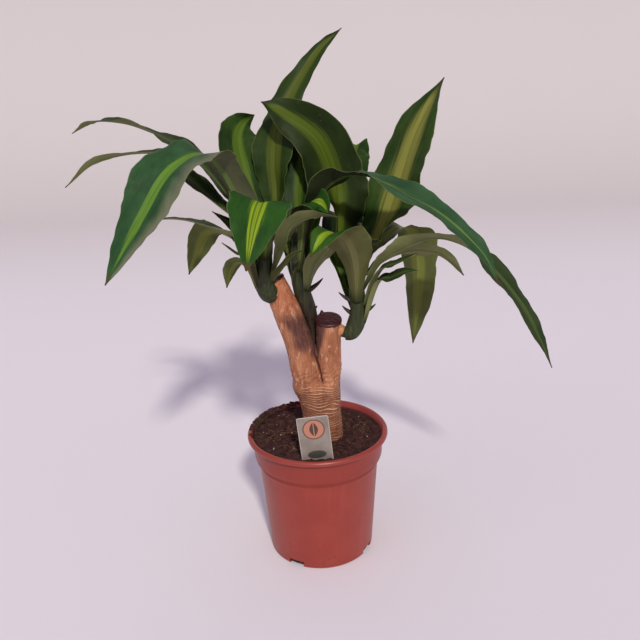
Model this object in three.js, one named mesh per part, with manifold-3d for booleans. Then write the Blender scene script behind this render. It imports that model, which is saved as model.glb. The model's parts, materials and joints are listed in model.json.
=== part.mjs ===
// Potted corn plant: a forked cane with three leafy shoots, in a 17 cm plastic nursery pot.
// Millimetres, +Z up. The origin is the middle of the pot's underside, on the ground, and the
// front of the plant faces -Y.
//
// Every leaf is a blade along a midrib that passes a few way-points. Its section is a shallow
// channel with waved margins, and its root is seated against the stem that it grows from.

import * as THREE from 'three';
import { mergeVertices } from 'three/addons/utils/BufferGeometryUtils.js';
import Module from 'manifold-3d';

const wasm = await Module();
wasm.setup();

// ---------------------------------------------------------------------------------------------
// Driving dimensions
// ---------------------------------------------------------------------------------------------

const SEAT_GAP = 0.3;             // clearance between pieces that touch

const POT_HEIGHT = 156;
const RIM_RADIUS = 85;            // outside of the rolled rim: a 17 cm pot
const RIM_HEIGHT = 7;
const RIM_WIDTH = 6;
const RIM_ROUND = 2;
const COLLAR_RADIUS = 78;         // straight band under the rim
const COLLAR_FOOT = 124;          // height where the band ends
const SHOULDER_RADIUS = 72.6;     // top of the tapered wall
const SHOULDER_HEIGHT = 118;
const FOOT_RADIUS = 64;
const POT_WALL = 1.8;
const POT_FLOOR = 2.5;
const FOOT_CHAMFER = 1.5;
const POT_SIDES = 48;

const DRAIN_COUNT = 4;            // notches in the foot that let water out
const DRAIN_WIDTH = 20;
const DRAIN_HEIGHT = 8;
const DRAIN_DEPTH = 14;
const DRAIN_OVERSHOOT = 3;        // how far the cut starts outside the wall
const DRAIN_TURN = -120;          // degrees from +X to the first notch

const SOIL_TOP = 152;
const SOIL_SLOPE = 0.025;         // fall towards the back and the right
const SOIL_DISH = 2.5;            // how far the soil sinks towards the trunk
const SOIL_DISH_SPREAD = 38;
const SOIL_ROUGHNESS = 1.1;       // height of its clods
const SOIL_CLODS = [              // waves: [radians per mm along X, along Y, lag, height]
  [0.31, 0.27, 0.7, 0.5],
  [0.31, -0.27, 1.9, 0.5],
  [0.21, 0.53, 0, 0.7],
  [0.71, -0.43, 1.57, 0.5],
];
const SOIL_LEVEL_EDGE = 14;       // width over which the clods fade out at the pot
const SOIL_SIDES = 36;
const SOIL_RINGS = 7;

const TRUNK_SIDES = 20;
const TRUNK_BURIED = 0.257;       // share of the foot that is hidden in the soil, and plain
const TRUNK_SECTIONS = 39;        // cross-sections above that, every second one a leaf scar
const LEFT_ARM_STEPS = 12;
const RIGHT_ARM_STEPS = 9;
const SCAR_RELIEF = 0.55;         // how far the leaf scars stand out of the lower trunk
const SCAR_TOP = 222;
const CUT_TILT = 15;              // degrees that the right arm's sawn end faces forwards
const CAP_THICKNESS = 2.4;        // wax on the sawn ends
const CAP_EDGE = 2;               // how far its rounded edge draws in

const STEM_SIDES = 12;
const STEM_STEPS = 3;             // cross-sections from one way-point to the next
const LEAF_THICKNESS = 0.8;
const LEAF_ROOT_THICKNESS = 1.8;
const LEAF_THIN_FROM = 0.3;       // share of the length where the blade has its own thickness
const LEAF_TIP_WIDTH = 1.2;
const LEAF_STEP = 19;             // length of blade between two cross-sections
const LEAF_FEWEST_STEPS = 9;
const LEAF_FOLD_ROOT = 22;        // degrees that each half of the blade rises from the midrib
const LEAF_FOLD_NECK = 34;
const LEAF_FOLD_BLADE = 13;
const LEAF_NECK = 0.12;           // shares of the length where the neck and the flat blade begin
const LEAF_OPEN = 0.42;
const BLADE = {                   // what a leaf has unless its own entry says otherwise
  root: 0.22,                     // width at the root, as a share of the widest part
  widest: 0.42,                   // share of the length where the blade is widest
  swell: 1.35,                    // how late the blade widens from its root
  taper: 1.9,                     // how late the blade narrows towards its tip
  pinch: [0.5, 0],                // place and depth of a waist
  wave: 0.055,                    // height of the margin's waves, as a share of the width
};
const PINCH_REACH = 0.06;
const LEAF_WAVE_LENGTH = 70;
const LEAF_WAVE_LAG = 2.1;        // radians between the waves of the two margins
const LEAF_WAVE_SHIFT = 1.7;      // radians between the waves of one leaf and the next
const BRACT_WIDTH = 0.5;          // share of the stem's radius
const BRACT_RISE = 0.65;

const LABEL_WIDTH = 35.5;
const LABEL_LENGTH = 81.5;
const LABEL_THICKNESS = 0.8;
const LABEL_FOOT = [1.4, -70.3, 126]; // middle of the buried end
const LABEL_LEAN = -2;            // degrees back from upright
const LABEL_TILT = -5;            // degrees sideways

const FINISHES = {
  pot: { color: 0x9a4035, roughness: 0.5 },
  soil: { color: 0x3d2722, roughness: 1 },
  bark: { color: 0xa1664a, roughness: 0.85 },
  wax: { color: 0x3c1e20, roughness: 0.45 },
  stem: { color: 0x3a4528, roughness: 0.6 },
  leaf: { color: 0x2f4a26, roughness: 0.4 },
  label: { color: 0xa39a90, roughness: 0.4 },
};

// ---------------------------------------------------------------------------------------------
// The trunk and the stems: way-points [x, y, z, half width, half depth]
// ---------------------------------------------------------------------------------------------

const TRUNK_FOOT = [
  [7, -5, 92, 20, 20],
  [7, -5, 120, 23, 23],
  [7, -5, 150, 24, 23.5],
  [6, -5, 180, 23, 22.5],
  [4, -5, 203, 25.5, 22.5],
  [1, -5, 219, 28.5, 20.5],
  [2, -5, 228, 22, 15],
  [3, -5, 235, 10, 9],
];
const LEFT_ARM = [
  [-4, -5, 205, 15, 17.5],
  [-10, -5, 235, 18, 18],
  [-16, -4, 265, 16.5, 16.5],
  [-27, -2, 300, 15.8, 15.5],
  [-35, 0, 322, 15, 14.5],
  [-43, 2, 345, 12, 12],
];
const RIGHT_ARM = [
  [13.5, -5, 205, 12, 16.5],
  [16, -5, 235, 14.8, 16],
  [17, -6, 265, 14.4, 14.5],
  [18, -6, 296, 14.3, 14.2],
];
const KNOB = [31, -9, 284];
const KNOB_RADIUS = 7;

const SHOOTS = {
  left: {
    stem: [
      [-42, -6, 327, 6.5, 6.5],
      [-48, -11, 333, 7.5, 7.5],
      [-52, -16, 343, 7.5, 7.5],
      [-52, -19, 357, 7.5, 7.5],
      [-48, -17, 380, 6.5, 6.5],
      [-45, -15, 405, 4.5, 4.5],
      [-44, -14, 418, 2.5, 2.5],
    ],
    bracts: [
      { at: 0.12, turn: 225, length: 9 },
      { at: 0.24, turn: 140, length: 7 },
    ],
    leaves: {
      front: { at: 0.62, turn: -87, width: 62, widest: 0.66, taper: 1.7, root: 0.18, rolls: [0, -9, -4],
        route: [[-46, -42, 407], [-45, -64, 433], [-46, -86, 445], [-53, -109, 427], [-61, -127, 388]] },
      big_arch: { at: 0.67, turn: 210, width: 66, widest: 0.62, taper: 1.5, swell: 0.95, root: 0.2,
        rolls: [0, 30, 5, -22, -42, -40],
        route: [[-70, -36, 432], [-90, -47, 478], [-107, -62, 491], [-136, -84, 474], [-166, -103, 428],
          [-199, -112, 376]] },
      upper_reach: { at: 0.82, turn: 156, width: 34, wave: 0.1, rolls: [0, 2, 6, 0],
        route: [[-76, -1, 426], [-108, 10, 466], [-140, 15, 496], [-186, 20, 518], [-226, 22, 523],
          [-253, 24, 512]] },
      lower_reach: { at: 0.74, turn: 172, width: 34, wave: 0.08, rolls: [-10, -8, 5, 25],
        route: [[-72, -1, 408], [-105, -8, 440], [-135, -9, 472], [-160, -9, 490], [-220, -6, 484],
          [-259, -6, 458]] },
      low_strap: { at: 0.49, turn: 205, width: 30, rolls: [0, 0, 0],
        route: [[-72, -36, 396], [-93, -40, 410], [-130, -40, 424], [-164, -38, 425]] },
      small_dark: { at: 0.56, turn: 160, width: 18, rolls: [-20, -20, 0],
        route: [[-73, 4, 388], [-89, 10, 408], [-107, 12, 423]] },
      dried: { at: 0.36, turn: 225, width: 16, rolls: [0, 0, 0],
        route: [[-68, -38, 380], [-78, -42, 386], [-92, -44, 399]] },
      hanging: { at: 0.46, turn: 138, width: 44, rolls: [0, 20, 35, 35],
        route: [[-76, 16, 380], [-100, 30, 394], [-119, 38, 393], [-133, 42, 371], [-145, 42, 344]] },
      small_hanging: { at: 0.31, turn: 180, width: 32, root: 0.18, rolls: [0, 25, 60],
        route: [[-70, -14, 362], [-80, -6, 367], [-89, 0, 357], [-97, 6, 336]] },
      tall: { at: 0.96, turn: 60, width: 52, taper: 1.1, wave: 0.08, rolls: [0, 0, 0, 25, 50],
        route: [[-34, 10, 436], [-35, 26, 470], [-30, 42, 506], [-17, 56, 538], [18, 76, 588],
          [46, 84, 612]] },
      tall_back: { at: 0.9, turn: 122, width: 54, swell: 0.9, rolls: [0, 0, 0],
        route: [[-64, 20, 440], [-74, 42, 474], [-78, 60, 498], [-72, 74, 513], [-58, 82, 522]] },
      cross: { at: 0.51, turn: -16, width: 34, root: 0.16, rolls: [0, -25, -25, -10],
        route: [[-28, -23, 386], [-20, -39, 409], [-6, -52, 421], [14, -62, 426], [35, -70, 425]] },
      low_cross: { at: 0.4, turn: -10, width: 24, rolls: [0, -20, -20],
        route: [[-34, -26, 360], [-20, -34, 378], [-6, -38, 387]] },
      back: { at: 0.7, turn: 88, width: 42, rolls: [0, 0, 0],
        route: [[-46, 20, 424], [-50, 56, 450], [-54, 88, 440], [-57, 112, 404]] },
    },
  },
  middle: {
    stem: [
      [-3, 0, 246, 6, 6],
      [-1, 8, 275, 7.5, 7.5],
      [-4, 7, 299, 7.5, 7.5],
      [-9, 5, 320, 8, 8],
      [-13, 3, 343, 8.5, 8.5],
      [-15, 1, 372, 7, 7],
      [-14, 0, 400, 3, 3],
    ],
    bracts: [
      { at: 0.36, turn: -5, length: 6 },
      { at: 0.55, turn: 0, length: 22 },
    ],
    leaves: {
      crossing: { at: 0.88, turn: -15, width: 46, pinch: [0.45, 0.5],
        rolls: [0, -30, -28, 2, 20, 34, 30],
        route: [[5, -15, 414], [17, -34, 446], [39, -44, 462], [63, -54, 462], [95, -66, 447],
          [134, -78, 424], [171, -86, 388], [191, -88, 352]] },
      low_front: { at: 0.58, turn: -50, width: 32, root: 0.3, rolls: [0, -20, -20],
        route: [[4, -18, 362], [18, -28, 382], [29, -35, 393], [36, -39, 396]] },
      short_front: { at: 0.74, turn: -90, width: 32, widest: 0.6, swell: 1.6, root: 0.16,
        rolls: [0, 30, 30],
        route: [[-6.5, -19.5, 403], [-5, -36, 425], [3, -51, 438], [14, -58, 439], [21, -62, 428]] },
      upright: { at: 0.95, turn: 80, width: 38, rolls: [0, 0, 0],
        route: [[-12, 20, 420], [-8, 32, 457], [0, 44, 489], [10, 54, 512]] },
      back: { at: 0.8, turn: 100, width: 44, root: 0.3, rolls: [0, 0, 0],
        route: [[-16, 36, 416], [-10, 75, 446], [-6, 108, 436], [-4, 132, 392]] },
      back_left: { at: 0.66, turn: 135, width: 40, root: 0.28, rolls: [0, 0, 0],
        route: [[-34, 28, 394], [-58, 57, 414], [-78, 84, 400], [-90, 100, 372]] },
      back_right: { at: 0.56, turn: 55, width: 40, root: 0.28, rolls: [0, 0, 0],
        route: [[6, 32, 406], [13, 62, 428], [17, 92, 422], [20, 112, 390]] },
    },
  },
  right: {
    stem: [
      [27, -7, 285, 6.5, 6.5],
      [35, -9, 282, 6.5, 6.5],
      [43, -11, 283, 7.1, 7.1],
      [49, -12, 292, 7.3, 7.3],
      [52, -13, 310, 7.2, 7.2],
      [50, -13, 335, 6.8, 6.8],
      [52, -12, 364, 6, 6],
      [55, -12, 392, 4.5, 4.5],
      [56, -12, 408, 2.5, 2.5],
    ],
    bracts: [
      { at: 0.45, turn: 175, length: 15 },
      { at: 0.46, turn: 0, length: 17 },
      { at: 0.54, turn: 175, length: 19 },
    ],
    leaves: {
      dark_arch: { at: 0.8, turn: 170, width: 70, widest: 0.52, taper: 1.6, swell: 0.7, root: 0.38,
        rolls: [0, -18, -52, -64, -66, -50],
        route: [[32, -4, 390], [34, 15, 424], [31, 22, 450], [14, 20, 496], [-23, 22, 525],
          [-46, 24, 537]] },
      upright: { at: 0.84, turn: 5, width: 71, widest: 0.56, taper: 2.3, swell: 0.5, root: 0.45,
        wave: 0.07, rolls: [0, 10, 32, 36, 20],
        route: [[74, -9, 384], [87, 1, 409], [103, 18, 446], [125, 34, 501], [156, 46, 555]] },
      upright_back: { at: 0.72, turn: 130, width: 48, rolls: [0, 0, 0],
        route: [[52, 30, 398], [50, 50, 446], [54, 68, 477], [62, 86, 482], [72, 108, 460]] },
      front_curl: { at: 0.55, turn: -105, width: 50, rolls: [0, 0, 0],
        route: [[47, -34, 363], [41, -50, 389], [30, -66, 407], [14, -80, 408], [0, -88, 390]] },
      long_arch: { at: 0.62, turn: -18, width: 36, wave: 0.08, rolls: [0, -25, -25, -10, 25, 35, 30],
        route: [[76, -30, 367], [96, -38, 382], [128, -44, 394], [161, -50, 387], [190, -54, 362],
          [223, -56, 322], [247, -56, 279], [262, -56, 246]] },
      short_arch: { at: 0.68, turn: 12, width: 34, rolls: [0, -35, -35],
        route: [[82, -4, 362], [106, 0, 370], [129, 2, 370], [153, 4, 363], [175, 6, 339]] },
      small_upper: { at: 0.52, turn: -40, width: 20, swell: 0.8, rolls: [0, 20, 20],
        route: [[75, -38, 359], [90, -46, 369], [112, -52, 381]] },
      small_lower: { at: 0.41, turn: -25, width: 20, swell: 0.8, rolls: [0, 20, 20],
        route: [[73, -34, 345], [86, -40, 352], [100, -45, 359], [114, -48, 361]] },
      broad_hanging: { at: 0.74, turn: 48, width: 56, widest: 0.6, taper: 2.3, rolls: [0, 0, 0],
        route: [[84, 26, 376], [110, 52, 388], [127, 66, 369], [132, 70, 311], [126, 66, 236]] },
      back: { at: 0.48, turn: 130, width: 42, root: 0.25, rolls: [0, 0, 0],
        route: [[29, 28, 362], [33, 66, 402], [40, 98, 394], [46, 120, 360]] },
      back_right: { at: 0.6, turn: 78, width: 34, root: 0.3, rolls: [0, 0, 0],
        route: [[61, 28, 366], [70, 60, 380], [77, 88, 358]] },
    },
  },
};

// ---------------------------------------------------------------------------------------------
// Closed bodies and booleans
// ---------------------------------------------------------------------------------------------

const radians = THREE.MathUtils.degToRad;
const vector = (values) => new THREE.Vector3(values[0], values[1], values[2]);
const mix = (from, to, share) => from + (to - from) * share;

function solidOf(geometry) {
  const bare = geometry.clone();
  bare.deleteAttribute('normal');
  bare.deleteAttribute('uv');
  const merged = mergeVertices(bare, 1e-4);
  return new wasm.Manifold(new wasm.Mesh({
    numProp: 3,
    vertProperties: new Float32Array(merged.attributes.position.array),
    triVerts: new Uint32Array(merged.index.array),
  }));
}

function geometryOf(solid) {
  const mesh = solid.getMesh();
  const geometry = new THREE.BufferGeometry();
  geometry.setAttribute('position', new THREE.BufferAttribute(new Float32Array(mesh.vertProperties), 3));
  geometry.setIndex(new THREE.BufferAttribute(new Uint32Array(mesh.triVerts), 1));
  geometry.computeVertexNormals();
  return geometry;
}

function bodyFrom(points, triangles) {
  const geometry = new THREE.BufferGeometry();
  geometry.setAttribute('position', new THREE.Float32BufferAttribute(points.flat(), 3));
  geometry.setIndex(triangles.flat());
  geometry.computeVertexNormals();
  return geometry;
}

function piece(name, geometry, finish) {
  const material = new THREE.MeshStandardMaterial({ ...finish, metalness: 0 });
  const mesh = new THREE.Mesh(geometry, material);
  mesh.name = name;
  return mesh;
}

// Joins rings of points into one closed body with fan-shaped ends.
function skin(points, rings, sides) {
  const triangles = [];
  for (let i = 0; i < rings - 1; i += 1) {
    for (let k = 0; k < sides; k += 1) {
      const [a, b] = [i * sides + k, i * sides + (k + 1) % sides];
      triangles.push([a, b, b + sides], [a, b + sides, a + sides]);
    }
  }
  const top = (rings - 1) * sides;
  for (let k = 1; k < sides - 1; k += 1) {
    triangles.push([0, k + 1, k], [top, top + k, top + k + 1]);
  }
  return bodyFrom(points, triangles);
}

// ---------------------------------------------------------------------------------------------
// Way-points and lofts
// ---------------------------------------------------------------------------------------------

// Catmull-Rom value of any list of equally long rows at a share of its way, 0 to 1.
function along(rows, share) {
  const place = share * (rows.length - 1);
  const from = Math.min(Math.floor(place), rows.length - 2);
  const t = place - from;
  const row = (index) => {
    if (index < 0) return rows[0].map((value, k) => 2 * value - rows[1][k]);
    if (index >= rows.length) return rows.at(-1).map((value, k) => 2 * value - rows.at(-2)[k]);
    return rows[index];
  };
  const [a, b, c, d] = [row(from - 1), row(from), row(from + 1), row(from + 2)];
  return b.map((_, k) => 0.5 * (2 * b[k] + (c[k] - a[k]) * t
    + (2 * a[k] - 5 * b[k] + 4 * c[k] - d[k]) * t * t
    + (3 * b[k] - a[k] - 3 * c[k] + d[k]) * t * t * t));
}

// Equally spaced shares from start to 1.
function shares(start, steps) {
  return Array.from({ length: steps + 1 }, (_, i) => mix(start, 1, i / steps));
}

// The points of an ellipse across an axis, whose depth stays as near to Y as it can.
function ring(centre, axis, halfWidth, halfDepth, sides) {
  const deep = new THREE.Vector3(0, 1, 0).addScaledVector(axis, -axis.y).normalize();
  const wide = new THREE.Vector3().crossVectors(deep, axis);
  return Array.from({ length: sides }, (_, k) => {
    const angle = 2 * Math.PI * k / sides;
    return centre.clone()
      .addScaledVector(wide, halfWidth * Math.cos(angle))
      .addScaledVector(deep, halfDepth * Math.sin(angle))
      .toArray();
  });
}

function axisAt(rows, share) {
  const before = vector(along(rows, Math.max(share - 0.01, 0)));
  const after = vector(along(rows, Math.min(share + 0.01, 1)));
  return after.sub(before).normalize();
}

function tilted(axis, angle) {
  return axis.clone().applyAxisAngle(new THREE.Vector3(1, 0, 0), radians(angle));
}

// A solid round a list of [x, y, z, half width, half depth], with flat ends. The relief is a
// function of cross-section number and height that is added to the radius; the last ring can
// be tilted.
function loft(rows, stations, { sides, grow = 0, relief = () => 0, endTilt = 0 }) {
  const points = [];
  const last = stations.length - 1;
  for (const [i, share] of stations.entries()) {
    const [x, y, z, halfWidth, halfDepth] = along(rows, share);
    const axis = tilted(axisAt(rows, share), i === last ? endTilt : 0);
    const push = i === 0 ? -grow : (i === last ? grow : 0);
    const centre = new THREE.Vector3(x, y, z).addScaledVector(axis, push);
    const swell = grow + relief(i, z);
    points.push(...ring(centre, axis, halfWidth + swell, halfDepth + swell, sides));
  }
  return solidOf(skin(points, stations.length, sides));
}

// ---------------------------------------------------------------------------------------------
// Pot and soil
// ---------------------------------------------------------------------------------------------

function turned(profile) {
  const outline = profile.map(([radius, height]) => new THREE.Vector2(radius, height));
  const lathe = new THREE.LatheGeometry(outline, POT_SIDES);
  lathe.rotateX(Math.PI / 2);
  return solidOf(lathe);
}

// Radius of the wall's inner face at a height below the collar.
function wallInside(height) {
  return mix(FOOT_RADIUS, SHOULDER_RADIUS, height / SHOULDER_HEIGHT) - POT_WALL;
}

function drains(grow) {
  const boxes = [];
  for (let i = 0; i < DRAIN_COUNT; i += 1) {
    const box = new THREE.BoxGeometry(DRAIN_DEPTH + 2 * grow, DRAIN_WIDTH + 2 * grow,
      2 * (DRAIN_HEIGHT + grow));
    box.translate(FOOT_RADIUS + DRAIN_OVERSHOOT - DRAIN_DEPTH / 2, 0, 0);
    box.rotateZ(radians(DRAIN_TURN) + 2 * Math.PI * i / DRAIN_COUNT);
    boxes.push(solidOf(box));
  }
  return boxes.reduce((all, box) => all.add(box));
}

function pot() {
  const rimFoot = POT_HEIGHT - RIM_HEIGHT;
  const profile = [
    [0, 0],
    [FOOT_RADIUS - FOOT_CHAMFER, 0],
    [FOOT_RADIUS, FOOT_CHAMFER],
    [SHOULDER_RADIUS, SHOULDER_HEIGHT],
    [COLLAR_RADIUS, COLLAR_FOOT],
    [COLLAR_RADIUS, rimFoot],
    [RIM_RADIUS - RIM_ROUND, rimFoot],
    [RIM_RADIUS, rimFoot + RIM_ROUND],
    [RIM_RADIUS, POT_HEIGHT - RIM_ROUND],
    [RIM_RADIUS - RIM_ROUND, POT_HEIGHT],
    [RIM_RADIUS - RIM_WIDTH + RIM_ROUND, POT_HEIGHT],
    [RIM_RADIUS - RIM_WIDTH, POT_HEIGHT - RIM_ROUND],
    [COLLAR_RADIUS - POT_WALL, rimFoot],
    [COLLAR_RADIUS - POT_WALL, COLLAR_FOOT],
    [SHOULDER_RADIUS - POT_WALL, SHOULDER_HEIGHT],
    [wallInside(POT_FLOOR), POT_FLOOR],
    [0, POT_FLOOR],
  ];
  return turned(profile).subtract(drains(0));
}

// Height of the soil's surface: a shallow dish with clods that fade out where it meets the pot.
function soilHeight(x, y) {
  const edge = Math.min(1, (COLLAR_RADIUS - POT_WALL - Math.hypot(x, y)) / SOIL_LEVEL_EDGE);
  const dish = SOIL_DISH * Math.exp(-(x * x + y * y) / (2 * SOIL_DISH_SPREAD ** 2));
  const clods = SOIL_CLODS.reduce((sum, [alongX, alongY, lag, height]) => sum
    + height * Math.sin(alongX * x + alongY * y + lag), 0);
  return SOIL_TOP - dish - SOIL_SLOPE * (x + y) + SOIL_ROUGHNESS * clods * edge;
}

function soil() {
  const edgeRadius = COLLAR_RADIUS - POT_WALL - SEAT_GAP;
  const outline = [
    [wallInside(POT_FLOOR) - SEAT_GAP, POT_FLOOR + SEAT_GAP],
    [SHOULDER_RADIUS - POT_WALL - SEAT_GAP, SHOULDER_HEIGHT],
    [edgeRadius, COLLAR_FOOT + SEAT_GAP],
  ];
  const points = [[0, 0, POT_FLOOR + SEAT_GAP]];
  const ringAt = (radius, heightAt) => {
    for (let k = 0; k < SOIL_SIDES; k += 1) {
      const angle = 2 * Math.PI * k / SOIL_SIDES;
      const x = radius * Math.cos(angle);
      const y = radius * Math.sin(angle);
      points.push([x, y, heightAt(x, y)]);
    }
  };
  outline.forEach(([radius, height]) => ringAt(radius, () => height));
  for (let i = SOIL_RINGS; i > 0; i -= 1) ringAt(edgeRadius * i / SOIL_RINGS, soilHeight);
  points.push([0, 0, soilHeight(0, 0)]);

  const triangles = [];
  const rings = outline.length + SOIL_RINGS;
  const last = points.length - 1;
  for (let k = 0; k < SOIL_SIDES; k += 1) {
    const next = (k + 1) % SOIL_SIDES;
    triangles.push([0, 1 + next, 1 + k]);
    for (let i = 0; i < rings - 1; i += 1) {
      const [a, b] = [1 + i * SOIL_SIDES + k, 1 + i * SOIL_SIDES + next];
      triangles.push([a, b, b + SOIL_SIDES], [a, b + SOIL_SIDES, a + SOIL_SIDES]);
    }
    const inner = 1 + (rings - 1) * SOIL_SIDES;
    triangles.push([inner + k, inner + next, last]);
  }
  return solidOf(bodyFrom(points, triangles))
    .subtract(trunk(SEAT_GAP))
    .subtract(solidOf(labelCard(SEAT_GAP)))
    .subtract(drains(SEAT_GAP));
}

// ---------------------------------------------------------------------------------------------
// Trunk and its wax caps
// ---------------------------------------------------------------------------------------------

// Every second cross-section of the lower trunk stands out as the ring of an old leaf scar.
function scars(section, height) {
  return section % 2 === 1 && height < SCAR_TOP ? SCAR_RELIEF : 0;
}

function trunk(grow) {
  const sides = TRUNK_SIDES;
  const levels = [0, TRUNK_BURIED / 2, ...shares(TRUNK_BURIED, TRUNK_SECTIONS)];
  const foot = loft(TRUNK_FOOT, levels, { sides, grow, relief: scars });
  const left = loft(LEFT_ARM, shares(0, LEFT_ARM_STEPS), { sides, grow });
  const right = loft(RIGHT_ARM, shares(0, RIGHT_ARM_STEPS), { sides, grow, endTilt: CUT_TILT });
  const knob = new THREE.SphereGeometry(KNOB_RADIUS + grow, 10, 8);
  knob.translate(...KNOB);
  return foot.add(left).add(right).add(solidOf(knob));
}

// A thin disc of wax on the sawn end of an arm.
function waxCap(rows, endTilt) {
  const [x, y, z, halfWidth, halfDepth] = rows.at(-1);
  const axis = tilted(axisAt(rows, 1), endTilt);
  const disc = [
    [SEAT_GAP, 0],
    [SEAT_GAP + CAP_THICKNESS / 2, 0],
    [SEAT_GAP + CAP_THICKNESS, CAP_EDGE],
  ];
  const points = disc.flatMap(([lift, inset]) => {
    const centre = new THREE.Vector3(x, y, z).addScaledVector(axis, lift);
    return ring(centre, axis, halfWidth - inset, halfDepth - inset, TRUNK_SIDES);
  });
  return skin(points, disc.length, TRUNK_SIDES);
}

// ---------------------------------------------------------------------------------------------
// Shoots
// ---------------------------------------------------------------------------------------------

function stemPlace(rows, share) {
  const row = along(rows, share);
  return { point: vector(row), axis: axisAt(rows, share), radius: row[3] };
}

function outward(turn) {
  return new THREE.Vector3(Math.cos(radians(turn)), Math.sin(radians(turn)), 0);
}

// A shoot's stem with the small pointed bracts that stand off it.
function stem(shoot) {
  const steps = STEM_STEPS * (shoot.stem.length - 1);
  let solid = loft(shoot.stem, shares(0, steps), { sides: STEM_SIDES });
  for (const bract of shoot.bracts) {
    const { point, axis, radius } = stemPlace(shoot.stem, bract.at);
    const aim = outward(bract.turn).addScaledVector(axis, BRACT_RISE).normalize();
    const length = bract.length + radius;
    const spike = new THREE.ConeGeometry(radius * BRACT_WIDTH, length, 6);
    spike.translate(0, length / 2, 0);
    spike.applyQuaternion(new THREE.Quaternion().setFromUnitVectors(new THREE.Vector3(0, 1, 0), aim));
    spike.translate(...point.toArray());
    solid = solid.add(solidOf(spike));
  }
  return solid.subtract(trunk(SEAT_GAP));
}

// Width of a blade at a share of its length: narrow root, widest part, pointed tip.
function bladeWidth(leaf, share) {
  const { width, widest, taper, swell, root, pinch } = { ...BLADE, ...leaf };
  const [place, depth] = pinch;
  const waist = 1 - depth * Math.exp(-(((share - place) / PINCH_REACH) ** 2));
  if (share < widest) {
    const rise = Math.sin(Math.PI / 2 * share / widest);
    return width * waist * mix(root, 1, rise ** swell);
  }
  const rest = (share - widest) / (1 - widest);
  return Math.max(width * waist * (1 - rest ** taper), LEAF_TIP_WIDTH);
}

// Angle that each half of the blade rises from the midrib: folded at the neck, flatter after it.
function bladeFold(share) {
  if (share < LEAF_NECK) return mix(LEAF_FOLD_ROOT, LEAF_FOLD_NECK, share / LEAF_NECK);
  const open = Math.min(1, (share - LEAF_NECK) / (LEAF_OPEN - LEAF_NECK));
  return mix(LEAF_FOLD_NECK, LEAF_FOLD_BLADE, open);
}

// Cross-sections of a blade along its route, each a row of five points from margin to margin.
function bladeRows(route, leaf, phase) {
  const side = outward(leaf.turn + 90);
  const length = route.slice(1).reduce((sum, point, k) => sum
    + vector(point).distanceTo(vector(route[k])), 0);
  const count = Math.max(LEAF_FEWEST_STEPS, Math.round(length / LEAF_STEP));
  const rolls = leaf.rolls.map((value) => [value]);
  const rows = [];
  for (let i = 0; i <= count; i += 1) {
    const share = i / count;
    const forward = axisAt(route, share);
    const across = side.clone().addScaledVector(forward, -side.dot(forward)).normalize();
    across.applyAxisAngle(forward, radians(along(rolls, share)[0]));
    const normal = new THREE.Vector3().crossVectors(forward, across);
    const half = bladeWidth(leaf, share) / 2;
    const fold = radians(bladeFold(share));
    const thinned = Math.min(1, share / LEAF_THIN_FROM);
    const thickness = mix(LEAF_ROOT_THICKNESS, LEAF_THICKNESS, thinned);
    const middle = vector(along(route, share));
    const swing = (leaf.wave ?? BLADE.wave) * leaf.width * Math.min(1, 4 * share * (1 - share));
    const row = [-1, -0.5, 0, 0.5, 1].map((v) => {
      const beat = 2 * Math.PI * length * share / LEAF_WAVE_LENGTH + phase;
      const wave = swing * v * v * Math.sin(beat + (v > 0 ? LEAF_WAVE_LAG : 0));
      return middle.clone()
        .addScaledVector(across, v * half * Math.cos(fold))
        .addScaledVector(normal, Math.abs(v) * half * Math.sin(fold) + wave);
    });
    rows.push({ row, normal, thickness });
  }
  return rows;
}

// The root is slid along the leaf's outward direction until it just clears the stem.
function seatedRoute(shoot, leaf, phase) {
  const { point, axis, radius } = stemPlace(shoot.stem, leaf.at);
  const out = outward(leaf.turn);
  out.addScaledVector(axis, -out.dot(axis)).normalize();
  let reach = radius + 2;
  for (let pass = 0; pass < 4; pass += 1) {
    const root = point.clone().addScaledVector(out, reach);
    const [first] = bladeRows([root.toArray(), ...leaf.route], leaf, phase);
    const edges = first.row.flatMap((corner) => [1, -1].map((face) => corner.clone()
      .addScaledVector(first.normal, face * first.thickness / 2)));
    const nearest = Math.min(...edges.map((corner) => {
      const offset = corner.clone().sub(point);
      return offset.addScaledVector(axis, -offset.dot(axis)).length();
    }));
    reach += radius + SEAT_GAP - nearest;
  }
  return [point.clone().addScaledVector(out, reach).toArray(), ...leaf.route];
}

// A closed blade: the upper face's points, the underside's, and strips round the edge.
function blade(shoot, leaf, phase) {
  const rows = bladeRows(seatedRoute(shoot, leaf, phase), leaf, phase);
  const columns = rows[0].row.length;
  const points = [1, -1].flatMap((face) => rows.flatMap(({ row, normal, thickness }) => row
    .map((corner) => corner.clone().addScaledVector(normal, face * thickness / 2).toArray())));
  const under = rows.length * columns;
  const triangles = [];
  const strip = (a, b) => triangles.push([a, b, under + b], [a, under + b, under + a]);
  for (let i = 0; i < rows.length - 1; i += 1) {
    for (let k = 0; k < columns - 1; k += 1) {
      const a = i * columns + k;
      const [b, c, d] = [a + 1, a + columns + 1, a + columns];
      triangles.push([a, c, b], [a, d, c]);
      triangles.push([under + a, under + b, under + c], [under + a, under + c, under + d]);
    }
    strip((i + 1) * columns, i * columns);
    strip((i + 1) * columns - 1, (i + 2) * columns - 1);
  }
  const tip = (rows.length - 1) * columns;
  for (let k = 0; k < columns - 1; k += 1) {
    strip(k, k + 1);
    strip(tip + k + 1, tip + k);
  }
  return bodyFrom(points, triangles);
}

// ---------------------------------------------------------------------------------------------
// Label
// ---------------------------------------------------------------------------------------------

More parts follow.
